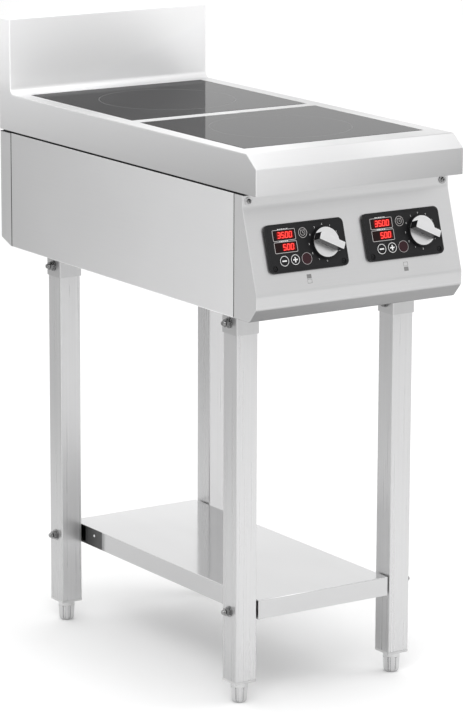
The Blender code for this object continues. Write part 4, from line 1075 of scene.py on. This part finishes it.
def make_dial():
    """Printed figures around the knob."""
    low = FACE + 0.02 * MM
    parts = []
    for figure, angle in zip(range(11), range(-90, -391, -30)):
        reach = 29.4 * MM
        a = math.radians(angle)
        rest()
        bpy.ops.object.text_add(location=(0, 0, 0))
        numeral = bpy.context.object
        numeral.data.body = str(figure)
        numeral.data.size = 4.0 * MM
        numeral.data.extrude = 0.05 * MM
        numeral.data.align_x = "CENTER"
        numeral.data.align_y = "CENTER"
        bpy.ops.object.convert(target="MESH")
        settle(numeral, Matrix.Translation((KNOB[0] + reach * math.cos(a), KNOB[1] + reach * math.sin(a),
                                            low + 0.05 * MM)))
        parts.append(numeral)
    dial = together(*parts)
    dial.name = dial.data.name = "dial_left_figures"
    return dial


def make_marks():
    """Short printed marks above the two windows."""
    low, high = FACE + 0.01 * MM, FACE + 0.10 * MM
    parts = []
    for start, y, lengths in MARKS:
        x = start
        for length in lengths:
            parts.append(plate("mark", length * MM, 1.1 * MM, 0.2 * MM, low, high,
                               ((x + length / 2) * MM, y * MM), 2))
            x += length + 1.1
    marks = together(*parts)
    marks.name = marks.data.name = "panel_left_marks"
    return marks


def make_outlines():
    """Silver outlines of the windows and the lamp."""
    low, high = FACE + 0.01 * MM, FACE + 0.12 * MM
    parts = [border("outline_left_trim", PANE[0] + 2.6 * MM, PANE[1] + 2.6 * MM, 1.8 * MM, 0.9 * MM, low, high,
                    PANE_UPPER),
             border("outline_lower", PANE[0] + 2.6 * MM, PANE[1] + 2.6 * MM, 1.8 * MM, 0.9 * MM, low, high,
                    PANE_LOWER)]
    ring = washer("lamp_ring", LAMP_R - 0.3 * MM, LAMP_R - 0.9 * MM, FACE + 0.2 * MM, FACE + 0.36 * MM, 56)
    parts.append(settle(ring, Matrix.Translation((*LAMP, 0))))
    return together(*parts)


def make_knob():
    """Knob with skirt, silver disc and a straight grip with a silver cap."""
    base = FACE + 1.2 * MM
    rim = base + 5.5 * MM
    seat = rim - 1 * MM
    skirt = spun("knob_left_moulding", [
        (0, seat - 2 * MM), (KNOB_R - 1.6 * MM, seat - 2 * MM), (KNOB_R - 1.6 * MM, base), (KNOB_R - 0.3 * MM, base),
        (KNOB_R, base + 0.3 * MM), (KNOB_R, rim - 0.6 * MM), (KNOB_R - 0.15 * MM, rim - 0.15 * MM),
        (KNOB_R - 0.5 * MM, rim), (KNOB_R - 1.2 * MM, rim), (KNOB_R - 1.2 * MM, seat), (0, seat)], 96)
    top = 28.7 * MM
    grip = block("grip", (-23.7 * MM, -6 * MM, rim + 0.6 * MM), (23.7 * MM, 6 * MM, top - 1 * MM))
    rounded(grip, 1.2 * MM, 3, lambda mid, way: abs(way.z) > 0.9)
    hub = drum("hub", 5.8 * MM, seat - 0.5 * MM, rim + 1 * MM, 32)
    knob = smoothed(together(skirt, grip, hub))
    disc = washer("knob_left_disc", KNOB_R - 1.5 * MM, 6.1 * MM, seat + 0.3 * MM, rim + 0.3 * MM, 96)
    rounded(disc, 0.3 * MM, 2, lambda mid, way: mid.z > rim + 0.2 * MM)
    cap = block("knob_left_cap", (-23.5 * MM, -5.8 * MM, top - 0.7 * MM), (23.5 * MM, 5.8 * MM, top))
    rounded(cap, 1.1 * MM, 3, lambda mid, way: abs(way.z) > 0.9)
    rounded(cap, 0.3 * MM, 3, lambda mid, way: mid.z > top - 1e-5)
    pieces = knob, smoothed(disc), smoothed(cap)
    turn = Matrix.Translation((*KNOB, 0)) @ Matrix.Rotation(KNOB_TURN, 4, "Z")
    for piece in pieces:
        settle(piece, turn)
    return pieces


def cross_screw(name, head, height):
    """Round-headed screw with a cross recess, its head's underside at zero."""
    screw = spun(name, [(0, -4 * MM), (head * 0.38, -4 * MM), (head * 0.38, 0), (head, 0), (head, height * 0.35),
                        (head * 0.86, height * 0.72), (head * 0.55, height * 0.95), (0, height)], 40)
    for turn in (0.4, 0.4 + math.pi / 2):
        blade = block("slot", (-head * 0.55, -head * 0.12, height * 0.35), (head * 0.55, head * 0.12, height * 2))
        settle(blade, Matrix.Rotation(turn, 4, "Z"))
        carved(screw, blade)
    return smoothed(screw)


def make_controls():
    """Both control panels, the right one a copy of the left."""
    def pair(piece, material, body=ROOT, stands_for=()):
        label = piece.name
        both = {"left": piece, "right": copied(piece, label.replace("left", "right"))}
        for side, item in both.items():
            settle(item, PANEL[side])
            fitted(item, M[material], body.replace("left", side),
                   [node.replace("left", side) for node in stands_for])

    pair(make_bezel(), "bezel", ROOT, ["bezel_left"])
    windows = make_windows()
    pair(windows, "lamp", ROOT, ["display_lens_left"])
    for side in SIDES:
        piece = bpy.data.objects[windows.name.replace("left", side)]
        piece.data.materials[0] = lit_window(side)
    pair(make_lamp(), "lamp")
    pair(make_outlines(), "trim")
    pair(make_dial(), "print")
    pair(make_marks(), "print")
    for label in KEYS:
        pair(make_key_cap(label), "key", f"{label}_key_left", [f"{label}_key_left"])
        pair(make_sign(label), "print" if label != "timer" else "trim", f"{label}_key_left")
    pair(make_digits("upper_left_figures", "3500", PANE_UPPER, True), "lit")
    pair(make_digits("lower_left_figures", " 500", PANE_LOWER, True), "lit")
    knob, disc, cap = make_knob()
    pair(knob, "knob", "knob_left", ["knob_body_left"])
    pair(disc, "silver", "knob_left", ["knob_face_left"])
    pair(cap, "silver", "knob_left", ["knob_inlay_left"])
    for sign, word in ((-1, "inner"), (1, "outer")):
        screw = cross_screw(f"bezel_left_screw_{word}", 3.7 * MM, 2.0 * MM)
        settle(screw, Matrix.Translation((sign * CORNER_SCREW[0], CORNER_SCREW[1], BEZEL[2] - 2.8 * MM)))
        pair(screw, "knob")
    for side, filled in (("left", 1), ("right", -1)):
        low, high = 0.02 * MM, 0.10 * MM
        x, y = ICON_SPOT
        solid = plate(f"zone_icon_{side}", *ICON, 0.4 * MM, low, high, (x, y + filled * ICON_STEP), 2)
        open_box = border("open_box", *ICON, 0.4 * MM, 0.5 * MM, low, high, (x, y - filled * ICON_STEP))
        icon = settle(together(solid, open_box), PANEL[side])
        fitted(icon, M["icon"])


def make_fascia_screws():
    for sign, side in ((-1, "left"), (1, "right")):
        ring = rounded(washer(f"strip_washer_{side}", 7 * MM, 2.4 * MM, 0.05 * MM, 1.2 * MM), 0.25 * MM, 2)
        screw = cross_screw(f"strip_screw_{side}", 4.0 * MM, 2.4 * MM)
        settle(screw, Matrix.Translation((0, 0, 1.25 * MM)))
        place = (Matrix.Translation((sign * 187.5 * MM, NOSE + STRIP_BACK, SURFACE - 77 * MM))
                 @ Matrix.Rotation(math.pi / 2, 4, "X"))
        fitted(smoothed(settle(ring, place)), M["worktop"])
        fitted(settle(screw, place), M["bolt"])


# ------------------------------------------------------------------ carried-over nodes
def dress_inside():
    """Finishes of the pieces that keep their frame shape."""
    finishes = {"gasket": "silicone", "coil_tray": "aluminium", "coil_carrier": "fan", "coil_": "copper",
                "power_board": "board", "control_board": "board", "heat_sink": "aluminium", "fan_": "fan",
                "cable_gland": "gland", "terminal_block": "terminal", "encoder_shaft": "bolt"}
    for name, node in frame["nodes"].items():
        if name.startswith("glass_"):
            material = cooking_glass(name + "_ceramic", name.replace("glass_", ""))
        else:
            key = next((k for k in finishes if name.startswith(k)), None)
            if key is None:
                continue
            material = M[finishes[key]]
        node.data.materials.clear()
        node.data.materials.append(material)


# ------------------------------------------------------------------ studio
def make_studio():
    scene = bpy.context.scene
    rest()
    bpy.ops.mesh.primitive_plane_add(size=60, location=(0, 0, 0))
    floor = settle(named("studio_floor"))
    material, links, shader = sheet_of("floor_white")
    tree = material.node_tree
    place = wired(tree, "ShaderNodeTexCoord")
    across = vectors(tree, "DOT_PRODUCT", place.outputs["Object"], (0.835, -0.550, 0), out="Value")
    # painted light: the floor's colour is white in a band along the line of view through the object, and grey to
    # either side, darker on the left
    painted_light_band = wired(tree, "ShaderNodeValToRGB")
    painted_light_band.color_ramp.interpolation = "EASE"
    links.new(ranged(tree, across, -4.0, 4.0, ease="LINEAR"), painted_light_band.inputs["Fac"])
    ends = painted_light_band.color_ramp.elements
    ends[0].position, ends[0].color = 0.26, (0.56, 0.56, 0.56, 1)
    ends[1].position, ends[1].color = 0.78, (0.72, 0.72, 0.72, 1)
    for spot in (0.41, 0.59):
        ends.new(spot).color = (0.97, 0.97, 0.97, 1)
    links.new(painted_light_band.outputs["Color"], shader.inputs["Base Color"])
    shader.inputs["Roughness"].default_value = 0.9
    shader.inputs["Specular IOR Level"].default_value = 0.1
    floor.data.materials.append(material)

    world = bpy.data.worlds.new("studio")
    scene.world = world
    world.use_nodes = True
    tree = world.node_tree
    light = tree.nodes["Background"]
    light.inputs["Color"].default_value = (1, 1, 1, 1)
    light.inputs["Strength"].default_value = 1.0
    place = wired(tree, "ShaderNodeTexCoord")
    split = wired(tree, "ShaderNodeSeparateXYZ")
    tree.links.new(place.outputs["Generated"], split.inputs[0])

    def ramp(axis, start, end, low, high):
        return ranged(tree, split.outputs[axis], start, end, low, high)

    def joined(operation, *values):
        total = values[0]
        for value in values[1:]:
            total = maths(tree, operation, total, value)
        return total

    backdrop = joined("MULTIPLY", ramp("Y", 0.2, 0.6, 0, 1.1), ramp("Z", 0.08, 0.13, 0, 1),
                      ramp("Z", 0.19, 0.27, 1, 0))
    total = joined("ADD", ramp("Y", -0.6, 0.3, 0.72, 0.92), ramp("Z", 0.3, 0.8, 0, 0.36),
                   ramp("X", -0.9, -0.1, -0.15, 0), ramp("X", 0.6, 0.95, 0, -0.3), backdrop)
    tree.links.new(total, light.inputs["Strength"])

    def lamp(name, spot, aim, size, power):
        data = bpy.data.lights.new(name, "AREA")
        data.size = size
        data.energy = power
        obj = bpy.data.objects.new(name, data)
        scene.collection.objects.link(obj)
        obj.location = spot
        obj.rotation_euler = (Vector(aim) - Vector(spot)).to_track_quat("-Z", "Y").to_euler()

    lamp("key_light", (-2.2, -2.6, 3.4), (0, 0, 0.6), 2.2, 45)
    lamp("fill_light", (3.0, -1.2, 2.4), (0, 0, 0.6), 2.4, 25)

    camera_data = bpy.data.cameras.new("camera")
    camera = bpy.data.objects.new("camera", camera_data)
    scene.collection.objects.link(camera)
    scene.camera = camera
    camera_data.sensor_width = 36.0
    camera_data.lens = LENS
    camera_data.clip_end = 100
    yaw, pitch, roll = (math.radians(a) for a in CAMERA_TURN)
    ahead = Vector((math.sin(yaw) * math.cos(pitch), math.cos(yaw) * math.cos(pitch), -math.sin(pitch)))
    right = Vector((math.cos(yaw), -math.sin(yaw), 0))
    up = right.cross(ahead)
    right, up = right * math.cos(roll) + up * math.sin(roll), up * math.cos(roll) - right * math.sin(roll)
    place = Matrix((right, up, -ahead)).transposed().to_4x4()
    place.translation = Vector(CAMERA_SPOT)
    camera.matrix_world = place
    scene.view_settings.view_transform = "Standard"


LENS = 179.51
CAMERA_TURN = (33.2653, 12.7359, 0.2010)
CAMERA_SPOT = (-3.2335, -4.9509, 1.8355)


make_worktop()
make_fascia()
make_body()
make_rear_panel()
for corner in CORNERS:
    make_leg(corner)
make_foot()
for corner in CORNERS:
    make_bolt("socket_bolt_" + corner, "leg_bolt_" + corner)
    make_bolt("tray_bolt_" + corner, "shelf_bolt_" + corner)
make_shelf()
make_controls()
make_fascia_screws()
dress_inside()
make_studio()
